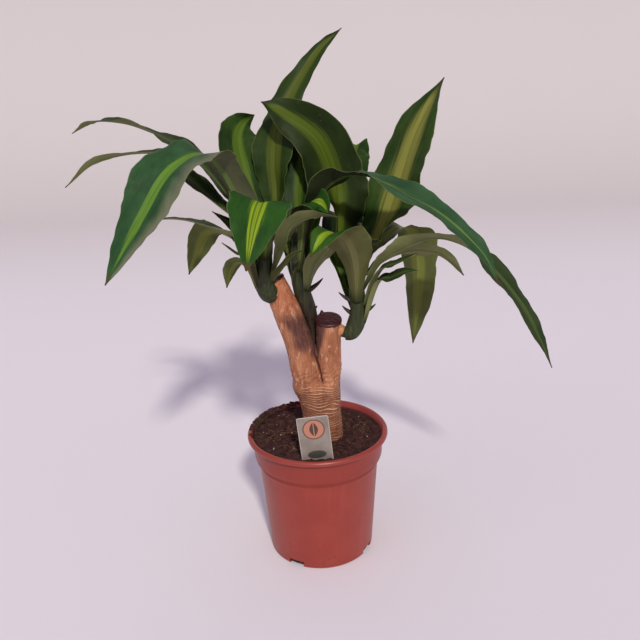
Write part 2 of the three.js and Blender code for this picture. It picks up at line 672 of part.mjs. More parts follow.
function labelCard(grow) {
  const card = new THREE.BoxGeometry(LABEL_WIDTH + 2 * grow, LABEL_THICKNESS + 2 * grow,
    LABEL_LENGTH + 2 * grow);
  card.translate(0, 0, LABEL_LENGTH / 2);
  card.rotateY(radians(LABEL_TILT));
  card.rotateX(radians(-LABEL_LEAN));
  card.translate(...LABEL_FOOT);
  return card;
}

// ---------------------------------------------------------------------------------------------
// Assembly
// ---------------------------------------------------------------------------------------------

const plant = new THREE.Group();
plant.add(piece('pot', geometryOf(pot()), FINISHES.pot));
plant.add(piece('soil', geometryOf(soil()), FINISHES.soil));
plant.add(piece('trunk', geometryOf(trunk(0)), FINISHES.bark));
plant.add(piece('wax_cap_left', waxCap(LEFT_ARM, 0), FINISHES.wax));
plant.add(piece('wax_cap_right', waxCap(RIGHT_ARM, CUT_TILT), FINISHES.wax));
plant.add(piece('plant_label', labelCard(0), FINISHES.label));

for (const [place, shoot] of Object.entries(SHOOTS)) {
  const head = new THREE.Group();
  head.add(piece(`stem_${place}`, geometryOf(stem(shoot)), FINISHES.stem));
  Object.entries(shoot.leaves).forEach(([name, leaf], index) => {
    const shape = blade(shoot, leaf, LEAF_WAVE_SHIFT * index);
    head.add(piece(`leaf_${place}_${name}`, shape, FINISHES.leaf));
  });
  plant.add(head);
}

export default plant;
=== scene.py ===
"""Potted corn plant: the visual model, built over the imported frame.

The tables hold millimetres in the row frame: +Z up, the front of the plant faces -Y, and the
origin is the middle of the pot's underside. Meshes are written in metres.
"""

import json
import math
import random

import bmesh
import bpy
import numpy as np
from mathutils import Matrix, Vector, noise

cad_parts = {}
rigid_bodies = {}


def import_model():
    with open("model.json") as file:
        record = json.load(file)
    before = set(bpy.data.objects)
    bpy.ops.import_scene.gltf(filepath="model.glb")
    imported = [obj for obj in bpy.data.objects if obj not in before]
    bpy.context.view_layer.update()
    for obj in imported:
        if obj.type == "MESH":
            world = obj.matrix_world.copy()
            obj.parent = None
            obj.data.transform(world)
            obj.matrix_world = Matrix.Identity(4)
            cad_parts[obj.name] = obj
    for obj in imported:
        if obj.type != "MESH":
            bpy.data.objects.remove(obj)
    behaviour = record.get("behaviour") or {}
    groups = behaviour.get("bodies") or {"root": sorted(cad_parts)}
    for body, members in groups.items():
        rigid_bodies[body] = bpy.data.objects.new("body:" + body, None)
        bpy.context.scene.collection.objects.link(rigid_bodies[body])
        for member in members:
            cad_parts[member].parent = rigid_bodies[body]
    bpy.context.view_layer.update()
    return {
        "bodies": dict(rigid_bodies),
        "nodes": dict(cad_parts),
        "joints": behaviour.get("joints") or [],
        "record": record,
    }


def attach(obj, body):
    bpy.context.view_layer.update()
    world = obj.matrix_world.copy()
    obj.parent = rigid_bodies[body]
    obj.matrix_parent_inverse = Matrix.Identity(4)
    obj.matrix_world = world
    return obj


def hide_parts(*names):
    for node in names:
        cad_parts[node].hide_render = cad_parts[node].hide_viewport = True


MM = 0.001

# ---- Camera, lights and stage ----

CAMERA_PLACE = (0.0, -0.768, 0.5507)    # metres, like the window's place, aim and size
CAMERA_PITCH = -18.46             # degrees above the horizon
CAMERA_YAW = 0.61                 # degrees towards +X
CAMERA_ROLL = -2.22
CAMERA_LENS = 39.375
CAMERA_SENSOR = 36
KEY_DIRECTION = (-0.14, 0.78, -0.62)
KEY_ANGLE = 5.0                   # degrees across the light's disc: the shadows' softness
KEY_POWER = 2.15
KEY_COLOUR = (1.0, 0.975, 0.9)
WINDOW_PLACE = (-0.9, -0.7, 1.5)
WINDOW_AIM = (0, 0, 0.35)
WINDOW_SIZE = 1.2
WINDOW_POWER = 2.5
WINDOW_COLOUR = (0.93, 0.95, 1.0)
FILL_COLOUR = (0.79, 0.7, 1.0)
FILL_STRENGTH = 0.42
STAGE_SIDE = 6000                 # half the stage's width
STAGE_FRONT = -4000
STAGE_BACK = 2400                 # where the floor starts to bend up
STAGE_BEND = 1600
STAGE_TOP = 6000
FLOOR_COLOUR = (236, 231, 233)
WALL_COLOUR = (208, 201, 198)

# ---- Pot, soil and label ----

POT_PROFILE = [                   # [radius, height, rounding of that corner]
    [62.5, 0, 0.3], [64, 1.5, 0.8], [72.5, 117, 8], [78, 125, 8], [78, 149.2, 0.7],
    [82.6, 149.2, 1.6], [85, 150.6, 1.8], [85, 154, 1.9], [83, 156, 1.5], [80.6, 156, 1.5],
    [78.8, 154, 1.2], [76.2, 149, 1.2], [76.2, 124, 1.0], [70.8, 118, 1.0], [62.4, 2.5, 0.8],
]
POT_SIDES = 160
RIM_HIGHLIGHT = (148.5, 152.5)        # heights at which the rim's painted highlight starts and is full
UNDER_RIM_SHADE = (143.5, 148, 149.5, 151.5)    # heights at which the painted shade under the rim starts and is full, and where it fades and ends
COLLAR_PAINT = (123, 127, 143, 147)
SEAM_PAINT = (115, 119, 122, 127)
DUST_PAINT = (60, 0)
DRAIN_COUNT = 4
DRAIN_SIZE = (14, 20, 16)
DRAIN_MIDDLE = 60                 # distance from the pot's axis
DRAIN_TURN = -120

SOIL_RADIUS = 75.9
SOIL_TOP = 152
SOIL_SLOPE = 0.025
SOIL_DISH = 2.5                   # how far the soil dips towards the cane
SOIL_DISH_SPREAD = 38
SOIL_CLODS = [[0.31, 0.27, 0.7, 0.5], [0.31, -0.27, 1.9, 0.5], [0.21, 0.53, 0, 0.7],
              [0.71, -0.43, 1.57, 0.5]]
SOIL_ROUGHNESS = 1.1
SOIL_EDGE = 14
SOIL_SIDES = 260
SOIL_RINGS = 64
SOIL_WALL = [[61.9, 2.8], [70.5, 118], [75.9, 124.3]]
SOIL_FLARE = 149                  # height from which the soil's edge follows the rim outwards
SOIL_FLARE_SLOPE = 0.5
SOIL_FLARE_REACH = 2.2
SOIL_SEED = 41
MOSS_REACH = (60, 72)             # moss grows over these radii ...
MOSS_TURN = 165                   # ... and round this place, in degrees to each side of the axis
MOSS_SPREAD = (8, 28)
CRUMBS = 1000
CRUMB_REACH = 73                  # the largest distance from the pot's axis
CRUMB_LIMIT = 3.6
SPILT = 420                       # crumbs that lie on the rim
SPILT_TURN = (146, 19)            # middle and spread of their place round the pot, in degrees
SPILT_REACH = (74, 83)
SPILT_LEVELS = (154, 155.4)       # heights inside and outside of the rim's inner edge
RIM_EDGE = 79
SPECKS = 30
SPECK_REACH = 71
FIBRES = 110
FIBRE_REACH = 62
FIBRE_RADIUS = 0.34
TRUNK_CLEARANCE = 25
EARTH, FIBRE, SPECK = 0.0, 1.0, 2.0    # what a point of the soil belongs to

LABEL_SIZE = (35.5, 81.5, 0.8)
LABEL_FOOT = (1.4, -70.3, 126)
LABEL_LEAN = -2
LABEL_TILT = -5
LABEL_CORNER = 2
LABEL_BEVEL = (0.25, 0.2)         # across the card and through it
LABEL_BOW = 0.315
DISC_HEIGHT = 66                  # a plain disc with a leaf in it, on the front of the label
DISC_RADIUS = 12.5
DISC_LINE = (1.6, 1.1)            # inner edge of the disc's outline, soft from one to the other
MOTIF_REACH = 9.5
MOTIF_WIDTH = 4.8
BLOB_HEIGHT = 34                  # a soft spot under the disc
BLOB_FLATNESS = 0.22
BLOB_EDGE = (30, 20)              # squares of its half height, where it starts and is full
BORDER = (0.9, 0.5)               # from the card's edge, where the pale border starts and is full
DIRT = (46, 30)

# ---- Trunk and wax: way-points [x, y, z, half width, half depth] ----

TRUNK_FOOT = [[7, -5, 92, 20, 20], [7, -5, 120, 23, 23], [7, -5, 150, 24, 23.5],
              [6, -5, 180, 23, 22.5], [4, -5, 203, 25.5, 22.5], [1, -5, 219, 28.5, 20.5],
              [2, -5, 228, 22, 15], [3, -5, 235, 10, 9]]
LEFT_ARM = [[-4, -5, 205, 15, 17.5], [-10, -5, 235, 18, 18], [-16, -4, 265, 16.5, 16.5],
            [-27, -2, 300, 15.8, 15.5], [-35, 0, 322, 15, 14.5], [-43, 2, 345, 12, 12]]
RIGHT_ARM = [[13.5, -5, 205, 12, 16.5], [16, -5, 235, 14.8, 16], [17, -6, 265, 14.4, 14.5],
             [18, -6, 296, 14.3, 14.2]]
RIGHT_ARM_END = 305               # above this height all bark is the left arm's
KNOB = (31, -9, 284)
KNOB_RADIUS = 7
KNOB_BARK = (7, 9.5)              # from its middle, where its own bark fades and ends ...
KNOB_SIDE = (27, 31)              # ... and the x over which it starts
CUT_TILT = 15
TRUNK_VOXEL = 0.85
TRUNK_AXIS = (4, -5)              # what the leaf scars are wound round
SCAR_PITCH = 3.3
SCAR_RELIEF = 0.5
SCAR_TOP = 217
# Heights at which a kind of bark starts and is full, and where it fades and ends if it does.
FOLD_ZONE = (214, 224, 232, 246)
CRACK_ZONE = (222, 228, 256, 266)
# The maroon band on the left arm is partly real stain and partly painted shade on the side that
# faces the fork.
STAIN_AND_SHADE_ZONE = (256, 272, 297, 312)
# Painted shade down both sides of the crevice in the fork.
CREVICE_SHADE = (246, 262)
RUST = (306, 322)
CREVICE = [[0.6, 258], [2.7, 252], [5.6, 238], [8.7, 224]]   # [x, z] of the crack in the fork

WAX_SIDES = 96
WAX_ROWS = [                      # [height over the cut, overhang, share of the drips]
    [0.0, 0.35, 1.0], [0.0, 0.95, 1.0], [0.4, 1.0, 0.0], [1.6, 0.7, 0.0], [2.3, -0.4, 0.0],
    [2.7, -2.0, 0.0],
]
DRIP_TURN = 3.25                  # a long drip and a nub in each wax cap, turns in radians
DRIP_SPREAD = 0.22
DRIP_LENGTH = 4.5
NUB_TURN = 2.2
NUB_SPREAD = 0.16
NUB_HEIGHT = 4.2

# ---- Shoots ----

STEM_VOXEL = 0.6
SHEATH_PITCH = 7.5
WOODY_AND_SHADED_BELOW = (338, 296)          # the dark foot of the middle stem in the fork, brown wood darkened by painted shade: height ...
WOODY_AND_SHADED_LEFT_OF = (18, 8)           # ... and x
BRACT_RISE = 0.65
CLASP_COLUMNS = [0, 0.15, 0.3, 0.45, 0.6, 0.75, 0.88, 1]
CLASP_STEPS = 14
CLASP_REACH = 0.24                # share of the stem that a leaf's base wraps, below the leaf
CLASP_SPREAD = (150, 60)          # degrees to each side, at the bottom and at the top
CLASP_GAP = 0.22                  # each leaf's base lies over the base of the next one up

LEAF_THICKNESS = 0.8
LEAF_ROOT_THICKNESS = 1.8
LEAF_THIN_FROM = 0.3
LEAF_TIP_WIDTH = 1.2
LEAF_FOLD_ROOT = 22
LEAF_FOLD_NECK = 34
LEAF_FOLD_BLADE = 13
LEAF_NECK = 0.12
LEAF_OPEN = 0.42
BLADE = {                         # what a leaf has unless its own entry says otherwise
    "root": 0.22,                 # width at the root, as a share of the widest part
    "widest": 0.42,               # share of the length where the blade is widest
    "swell": 1.35,                # how late the blade widens from its root
    "taper": 1.9,                 # how late the blade narrows towards its tip
    "pinch": (0.5, 0),            # place and depth of a waist
    "wave": 0.055,                # height of the margin's waves, as a share of the width
}
PINCH_REACH = 0.06
LEAF_WAVE_LENGTH = 70
LEAF_WAVE_LAG = 2.1
LEAF_WAVE_SHIFT = 1.7
LEAF_GAP = 0.3
LEAF_ROW = 2.6                    # length of blade between two cross-sections
LEAF_COLUMNS = [0, 0.025, 0.06, 0.12, 0.2, 0.3, 0.42, 0.55, 0.68, 0.8, 0.9, 0.97, 1]
KEEL = (0.75, 1.5, 0.25)          # midrib below: height, half width, share left at the tip
DIP = (0.35, 1.1, 0.3)            # the same for the groove above it

# A stem's way-points are like the trunk's. In a leaf, at is its place along the stem, turn its
# direction from the stem in degrees, and rolls how far the blade turns about its own route.
LEFT_STEM = [[-42, -6, 327, 6.5, 6.5], [-48, -11, 333, 7.5, 7.5], [-52, -16, 343, 7.5, 7.5],
             [-52, -19, 357, 7.5, 7.5], [-48, -17, 380, 6.5, 6.5], [-45, -15, 405, 4.5, 4.5],
             [-44, -14, 418, 2.5, 2.5]]
LEFT_BRACTS = [dict(at=0.12, turn=225, length=9), dict(at=0.24, turn=140, length=7)]
LEFT_LEAVES = {
    "front": dict(
        look="bright", at=0.62, turn=-87, width=62, widest=0.66, taper=1.7, root=0.18,
        rolls=[0, -9, -4],
        route=[[-46, -42, 407], [-45, -64, 433], [-46, -86, 445], [-53, -109, 427],
               [-61, -127, 388]]),
    "big_arch": dict(
        look="teal", at=0.67, turn=210, width=66, widest=0.62, taper=1.5, swell=0.95, root=0.2,
        rolls=[0, 30, 5, -22, -42, -40],
        route=[[-70, -36, 432], [-90, -47, 478], [-107, -62, 491], [-136, -84, 474],
               [-166, -103, 428], [-199, -112, 376]]),
    "upper_reach": dict(
        look="plain", at=0.82, turn=156, width=34, wave=0.1, rolls=[0, 2, 6, 0],
        route=[[-76, -1, 426], [-108, 10, 466], [-140, 15, 496], [-186, 20, 518], [-226, 22, 523],
               [-253, 24, 512]]),
    "lower_reach": dict(
        look="plain", at=0.74, turn=172, width=34, wave=0.08, rolls=[-10, -8, 5, 25],
        route=[[-72, -1, 408], [-105, -8, 440], [-135, -9, 472], [-160, -9, 490], [-220, -6, 484],
               [-259, -6, 458]]),
    "low_strap": dict(
        look="plain", at=0.49, turn=205, width=30, rolls=[0, 0, 0],
        route=[[-72, -36, 396], [-93, -40, 410], [-130, -40, 424], [-164, -38, 425]]),
    "small_dark": dict(
        look="dark", at=0.56, turn=160, width=18, rolls=[-20, -20, 0],
        route=[[-73, 4, 388], [-89, 10, 408], [-107, 12, 423]]),
    "dried": dict(
        look="dry", at=0.36, turn=225, width=16, rolls=[0, 0, 0],
        route=[[-68, -38, 380], [-78, -42, 386], [-92, -44, 399]]),
    "hanging": dict(
        look="olive", at=0.46, turn=138, width=44, rolls=[0, 20, 35, 35],
        route=[[-76, 16, 380], [-100, 30, 394], [-119, 38, 393], [-133, 42, 371],
               [-145, 42, 344]]),
    "small_hanging": dict(
        look="olive", at=0.31, turn=180, width=32, root=0.18, rolls=[0, 25, 60],
        route=[[-70, -14, 362], [-80, -6, 367], [-89, 0, 357], [-97, 6, 336]]),
    "tall": dict(
        look="shaded", at=0.96, turn=60, width=52, taper=1.1, wave=0.08, rolls=[0, 0, 0, 25, 50],
        route=[[-34, 10, 436], [-35, 26, 470], [-30, 42, 506], [-17, 56, 538], [18, 76, 588],
               [46, 84, 612]]),
    "tall_back": dict(
        look="green", at=0.9, turn=122, width=54, swell=0.9, rolls=[0, 0, 0],
        route=[[-64, 20, 440], [-74, 42, 474], [-78, 60, 498], [-72, 74, 513], [-58, 82, 522]]),
    "cross": dict(
        look="plain", at=0.51, turn=-16, width=34, root=0.16, rolls=[0, -25, -25, -10],
        route=[[-28, -23, 386], [-20, -39, 409], [-6, -52, 421], [14, -62, 426], [35, -70, 425]]),
    "low_cross": dict(
        look="dark", at=0.4, turn=-10, width=24, rolls=[0, -20, -20],
        route=[[-34, -26, 360], [-20, -34, 378], [-6, -38, 387]]),
    "back": dict(
        look="green", at=0.7, turn=88, width=42, rolls=[0, 0, 0],
        route=[[-46, 20, 424], [-50, 56, 450], [-54, 88, 440], [-57, 112, 404]]),
}
MIDDLE_STEM = [[-3, 0, 246, 6, 6], [-1, 8, 275, 7.5, 7.5], [-4, 7, 299, 7.5, 7.5],
               [-9, 5, 320, 8, 8], [-13, 3, 343, 8.5, 8.5], [-15, 1, 372, 7, 7],
               [-14, 0, 400, 3, 3]]
MIDDLE_BRACTS = [dict(at=0.36, turn=-5, length=6), dict(at=0.55, turn=0, length=22)]
MIDDLE_LEAVES = {
    "crossing": dict(
        look="teal_narrow", at=0.88, turn=-15, width=46, pinch=[0.45, 0.5],
        rolls=[0, -30, -28, 2, 20, 34, 30],
        route=[[5, -15, 414], [17, -34, 446], [39, -44, 462], [63, -54, 462], [95, -66, 447],
               [134, -78, 424], [171, -86, 388], [191, -88, 352]]),
    "low_front": dict(
        look="plain", at=0.58, turn=-50, width=32, root=0.3, rolls=[0, -20, -20],
        route=[[4, -18, 362], [18, -28, 382], [29, -35, 393], [36, -39, 396]]),
    "short_front": dict(
        look="bright", at=0.74, turn=-90, width=32, widest=0.6, swell=1.6, root=0.16,
        rolls=[0, 30, 30],
        route=[[-6.5, -19.5, 403], [-5, -36, 425], [3, -51, 438], [14, -58, 439], [21, -62, 428]]),
    "upright": dict(
        look="green", at=0.95, turn=80, width=38, rolls=[0, 0, 0],
        route=[[-12, 20, 420], [-8, 32, 457], [0, 44, 489], [10, 54, 512]]),
    "back": dict(
        look="green", at=0.8, turn=100, width=44, root=0.3, rolls=[0, 0, 0],
        route=[[-16, 36, 416], [-10, 75, 446], [-6, 108, 436], [-4, 132, 392]]),
    "back_left": dict(
        look="olive", at=0.66, turn=135, width=40, root=0.28, rolls=[0, 0, 0],
        route=[[-34, 28, 394], [-58, 57, 414], [-78, 84, 400], [-90, 100, 372]]),
    "back_right": dict(
        look="green", at=0.56, turn=55, width=40, root=0.28, rolls=[0, 0, 0],
        route=[[6, 32, 406], [13, 62, 428], [17, 92, 422], [20, 112, 390]]),
}
RIGHT_STEM = [[27, -7, 285, 6.5, 6.5], [35, -9, 282, 6.5, 6.5], [43, -11, 283, 7.1, 7.1],
              [49, -12, 292, 7.3, 7.3], [52, -13, 310, 7.2, 7.2], [50, -13, 335, 6.8, 6.8],
              [52, -12, 364, 6, 6], [55, -12, 392, 4.5, 4.5], [56, -12, 408, 2.5, 2.5]]
RIGHT_BRACTS = [dict(at=0.45, turn=175, length=15), dict(at=0.46, turn=0, length=17), dict(at=0.54,
                turn=175, length=19)]
RIGHT_LEAVES = {
    "dark_arch": dict(
        look="dark", at=0.8, turn=170, width=70, widest=0.52, taper=1.6, swell=0.7, root=0.38,
        rolls=[0, -18, -52, -64, -66, -50],
        route=[[32, -4, 390], [34, 15, 424], [31, 22, 450], [14, 20, 496], [-23, 22, 525],
               [-46, 24, 537]]),
    "upright": dict(
        look="golden", at=0.84, turn=5, width=71, widest=0.56, taper=2.3, swell=0.5, root=0.45,
        wave=0.07, rolls=[0, 10, 32, 36, 20],
        route=[[74, -9, 384], [87, 1, 409], [103, 18, 446], [125, 34, 501], [156, 46, 555]]),
    "upright_back": dict(
        look="green", at=0.72, turn=130, width=48, rolls=[0, 0, 0],
        route=[[52, 30, 398], [50, 50, 446], [54, 68, 477], [62, 86, 482], [72, 108, 460]]),
    "front_curl": dict(
        look="lime", at=0.55, turn=-105, width=50, rolls=[0, 0, 0],
        route=[[47, -34, 363], [41, -50, 389], [30, -66, 407], [14, -80, 408], [0, -88, 390]]),
    "long_arch": dict(
        look="plain", at=0.62, turn=-18, width=36, wave=0.08, rolls=[0, -25, -25, -10, 25, 35, 30],
        route=[[76, -30, 367], [96, -38, 382], [128, -44, 394], [161, -50, 387], [190, -54, 362],
               [223, -56, 322], [247, -56, 279], [262, -56, 246]]),
    "short_arch": dict(
        look="plain", at=0.68, turn=12, width=34, rolls=[0, -35, -35],
        route=[[82, -4, 362], [106, 0, 370], [129, 2, 370], [153, 4, 363], [175, 6, 339]]),
    "small_upper": dict(
        look="plain", at=0.52, turn=-40, width=20, swell=0.8, rolls=[0, 20, 20],
        route=[[75, -38, 359], [90, -46, 369], [112, -52, 381]]),
    "small_lower": dict(
        look="plain", at=0.41, turn=-25, width=20, swell=0.8, rolls=[0, 20, 20],
        route=[[73, -34, 345], [86, -40, 352], [100, -45, 359], [114, -48, 361]]),
    "broad_hanging": dict(
        look="olive", at=0.74, turn=48, width=56, widest=0.6, taper=2.3, rolls=[0, 0, 0],
        route=[[84, 26, 376], [110, 52, 388], [127, 66, 369], [132, 70, 311], [126, 66, 236]]),
    "back": dict(
        look="green", at=0.48, turn=130, width=42, root=0.25, rolls=[0, 0, 0],
        route=[[29, 28, 362], [33, 66, 402], [40, 98, 394], [46, 120, 360]]),
    "back_right": dict(
        look="olive", at=0.6, turn=78, width=34, root=0.3, rolls=[0, 0, 0],
        route=[[61, 28, 366], [70, 60, 380], [77, 88, 358]]),
}
SHOOTS = {
    "left": dict(stem=LEFT_STEM, bracts=LEFT_BRACTS, leaves=LEFT_LEAVES),
    "middle": dict(stem=MIDDLE_STEM, bracts=MIDDLE_BRACTS, leaves=MIDDLE_LEAVES),
    "right": dict(stem=RIGHT_STEM, bracts=RIGHT_BRACTS, leaves=RIGHT_LEAVES),
}

# Display colours, 0 to 255. Width is half the stripe's width as a share of half the blade, soft
# how softly it ends, fine how far the veins break it up, and bands the distance between the lines
# it is split into. The greyish tint of one side is a painted sheen, and mark the stripe seen from
# below.
LOOKS = {
    "green": dict(blade=(46, 70, 24), shade=(32, 52, 18), stripe=(84, 108, 32),
                  under=(88, 98, 56), width=0.26, fine=0.25, soft=0.1),
    "shaded": dict(blade=(46, 64, 22), shade=(35, 52, 18), stripe=(82, 92, 28),
                   under=(84, 94, 54), width=0.34, fine=0.2, soft=0.16),
    "bright": dict(blade=(42, 82, 26), shade=(32, 64, 20), stripe=(136, 160, 32),
                   under=(92, 100, 60), width=0.24, fine=0.2, bands=0.17),
    "teal": dict(blade=(52, 88, 50), shade=(38, 68, 38), stripe=(98, 134, 46),
                 under=(94, 97, 70), width=0.16, fine=0.45, painted_sheen=(118, 118, 94)),
    "teal_narrow": dict(blade=(58, 90, 56), shade=(42, 70, 42), stripe=(112, 138, 60),
                        under=(44, 52, 28), width=0.08, fine=0.4),
    "olive": dict(blade=(64, 82, 34), shade=(46, 64, 28), stripe=(116, 128, 52),
                  under=(100, 108, 60), width=0.34, fine=0.4, soft=0.1, mark=(142, 148, 62)),
    "golden": dict(blade=(52, 74, 28), shade=(38, 58, 22), stripe=(132, 132, 60),
                   under=(84, 88, 54), width=0.36, fine=0.2, soft=0.18),
    "lime": dict(blade=(54, 90, 26), shade=(40, 70, 24), stripe=(132, 160, 36),
                 under=(98, 100, 58), width=0.3, fine=0.5, mark=(122, 118, 78)),
    "dark": dict(blade=(40, 54, 18), shade=(28, 40, 13), stripe=(80, 96, 22),
                 under=(76, 80, 48), width=0.27, fine=0.2, soft=0.16),
    "plain": dict(blade=(52, 68, 36), shade=(40, 54, 28), stripe=(76, 90, 46),
                  under=(122, 126, 80), width=0.2, fine=0.3, soft=0.1),
    "dry": dict(blade=(66, 62, 38), shade=(48, 46, 28), stripe=(84, 78, 48),
                under=(72, 66, 42), width=0.3, fine=0.6),
}
LEAF_ROOT = (52, 58, 32)
LEAF_EDGE = (116, 124, 74)
LEAF_SCORCH = (104, 92, 56)
LEAF_SPOTS = (150, 144, 112)
LEAF_TIP = (84, 62, 42)


# ---- Numbers and meshes ----

def mix(start, end, share):
    return start + (end - start) * share


def ease(value, low, high):
    """0 below low, 1 above high, and a soft step between them."""
    t = np.clip((value - low) / (high - low), 0, 1)
    return t * t * (3 - 2 * t)


def zone(value, start, full, fade, end):
    """1 from full to fade, and softly 0 before start and after end."""
    return ease(value, start, full) * ease(-value, -end, -fade)


def bell(value, spread):
    return math.exp(-(value / spread) ** 2)


def linear(colour, strength=1.0):
    """A display colour, 0 to 255, as the linear colour of a shader socket."""
    channels = [value / 255 for value in colour]
    channels = [v / 12.92 if v <= 0.04045 else ((v + 0.055) / 1.055) ** 2.4 for v in channels]
    return (*[min(1.0, v * strength) for v in channels], 1.0)


def circle(sides):
    """The angles of points that are spread evenly round a circle."""
    return [math.tau * k / sides for k in range(sides)]


def polar(radius, turn):
    return radius * math.cos(turn), radius * math.sin(turn)


def mirrored(columns):
    """The columns of one half of a blade, and before them those of its other half."""
    return [-v for v in reversed(columns[1:])] + columns


def unit(vector):
    return vector / np.linalg.norm(vector)


def outward(turn):
    return np.array([*polar(1, math.radians(turn)), 0.0])


def rotated(vector, axis, degrees):
    angle = math.radians(degrees)
    return (vector * math.cos(angle) + np.cross(axis, vector) * math.sin(angle)
            + axis * axis.dot(vector) * (1 - math.cos(angle)))


def along(rows, share):
    """Catmull-Rom value of a list of equally long rows at a share of its way."""
    place = share * (len(rows) - 1)
    start = min(int(place), len(rows) - 2)
    t = place - start
    rows = np.asarray(rows, float)
    padded = np.vstack([2 * rows[0] - rows[1], rows, 2 * rows[-1] - rows[-2]])
    a, b, c, d = padded[start:start + 4]
    return 0.5 * (2 * b + (c - a) * t + (2 * a - 5 * b + 4 * c - d) * t * t
                  + (3 * b - a - 3 * c + d) * t ** 3)


def axis_at(rows, share):
    before = along(rows, max(share - 0.01, 0))[:3]
    after = along(rows, min(share + 0.01, 1))[:3]
    return unit(after - before)


def wobble(x, y, z):
    """Smooth noise, about -1 to 1."""
    return noise.noise(Vector((x, y, z)))


def tube_faces(rings, sides):
    """Faces of a closed body made of rings of points, with one face over each end."""
    faces = []
    last = (rings - 1) * sides
    for start in range(0, last, sides):
        for k in range(sides):
            a, b = start + k, start + (k + 1) % sides
            faces.append((a, b, b + sides, a + sides))
    return faces + [tuple(range(sides - 1, -1, -1)), tuple(range(last, last + sides))]


def joined(bodies):
    """The points and the faces of several bodies, each (points, faces), as one body."""
    points, faces = [], []
    for body_points, body_faces in bodies:
        shift = len(points)
        points.extend(tuple(point) for point in body_points)
        faces.extend(tuple(index + shift for index in face) for face in body_faces)
    return points, faces


def new_mesh(name, points, faces, **attributes):
    """A clean mesh from points in millimetres, with a value or vector per point for each name."""
    mesh = bpy.data.meshes.new(name)
    mesh.from_pydata((np.asarray(points, float) * MM).tolist(), [], faces)
    for key, values in attributes.items():
        put(mesh, key, values)
    build = bmesh.new()
    build.from_mesh(mesh)
    bmesh.ops.recalc_face_normals(build, faces=build.faces)
    build.to_mesh(mesh)
    build.free()
    return mesh


def put(mesh, key, values):
    values = np.asarray(values, float)
    kind, field = ("FLOAT", "value") if values.ndim == 1 else ("FLOAT_VECTOR", "vector")
    layer = mesh.attributes.new(key, kind, "POINT")
    layer.data.foreach_set(field, values.ravel())


def linked(name, data):
    """A new object of the data, in the scene."""
    obj = bpy.data.objects.new(name, data)
    bpy.context.scene.collection.objects.link(obj)
    return obj


def show(mesh, name, material=None):
    if material:
        mesh.materials.append(material)
    mesh.shade_smooth()
    return linked(name, mesh)


def sharpen(mesh, degrees):
    """Smooth shading, with sharp edges where faces meet at more than an angle."""
    mesh.shade_smooth()
    mesh.set_sharp_from_angle(angle=math.radians(degrees))


def dress(obj, node):
    """Puts a finished piece in the place of its CAD node."""
    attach(obj, "root")
    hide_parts(node)


def swap(obj, mesh):
    """Gives the object another mesh and removes its old one."""
    old = obj.data
    obj.data = mesh
    bpy.data.meshes.remove(old)


def apply(obj):
    """Turns the object's modifiers into its mesh."""
    evaluated = obj.evaluated_get(bpy.context.evaluated_depsgraph_get())
    mesh = bpy.data.meshes.new_from_object(evaluated)
    obj.modifiers.clear()
    swap(obj, mesh)


def grown(bodies, name, voxel, rounds):
    """Joins overlapping closed bodies, each (points, faces), into one smooth skin."""
    obj = show(new_mesh(name, *joined(bodies)), name)
    remesh = obj.modifiers.new("Join", "REMESH")
    remesh.mode = "VOXEL"
    remesh.voxel_size = voxel * MM
    smooth = obj.modifiers.new("Round", "SMOOTH")
    smooth.factor = 0.5
    smooth.iterations = rounds
    apply(obj)
    return obj


def vectors(mesh, field):
    values = np.empty(len(mesh.vertices) * 3)
    mesh.vertices.foreach_get(field, values)
    return values.reshape(-1, 3)


def places(mesh):
    return vectors(mesh, "co") / MM


def push(obj, heights):
    """Moves each point of the mesh along its normal by a height in millimetres."""
    mesh = obj.data
    moved = places(mesh) + vectors(mesh, "normal") * np.asarray(heights)[:, None]
    mesh.vertices.foreach_set("co", (moved * MM).ravel())
    mesh.update()
    put(mesh, "relief", heights)
    mesh.shade_smooth()


# ---- Node materials ----

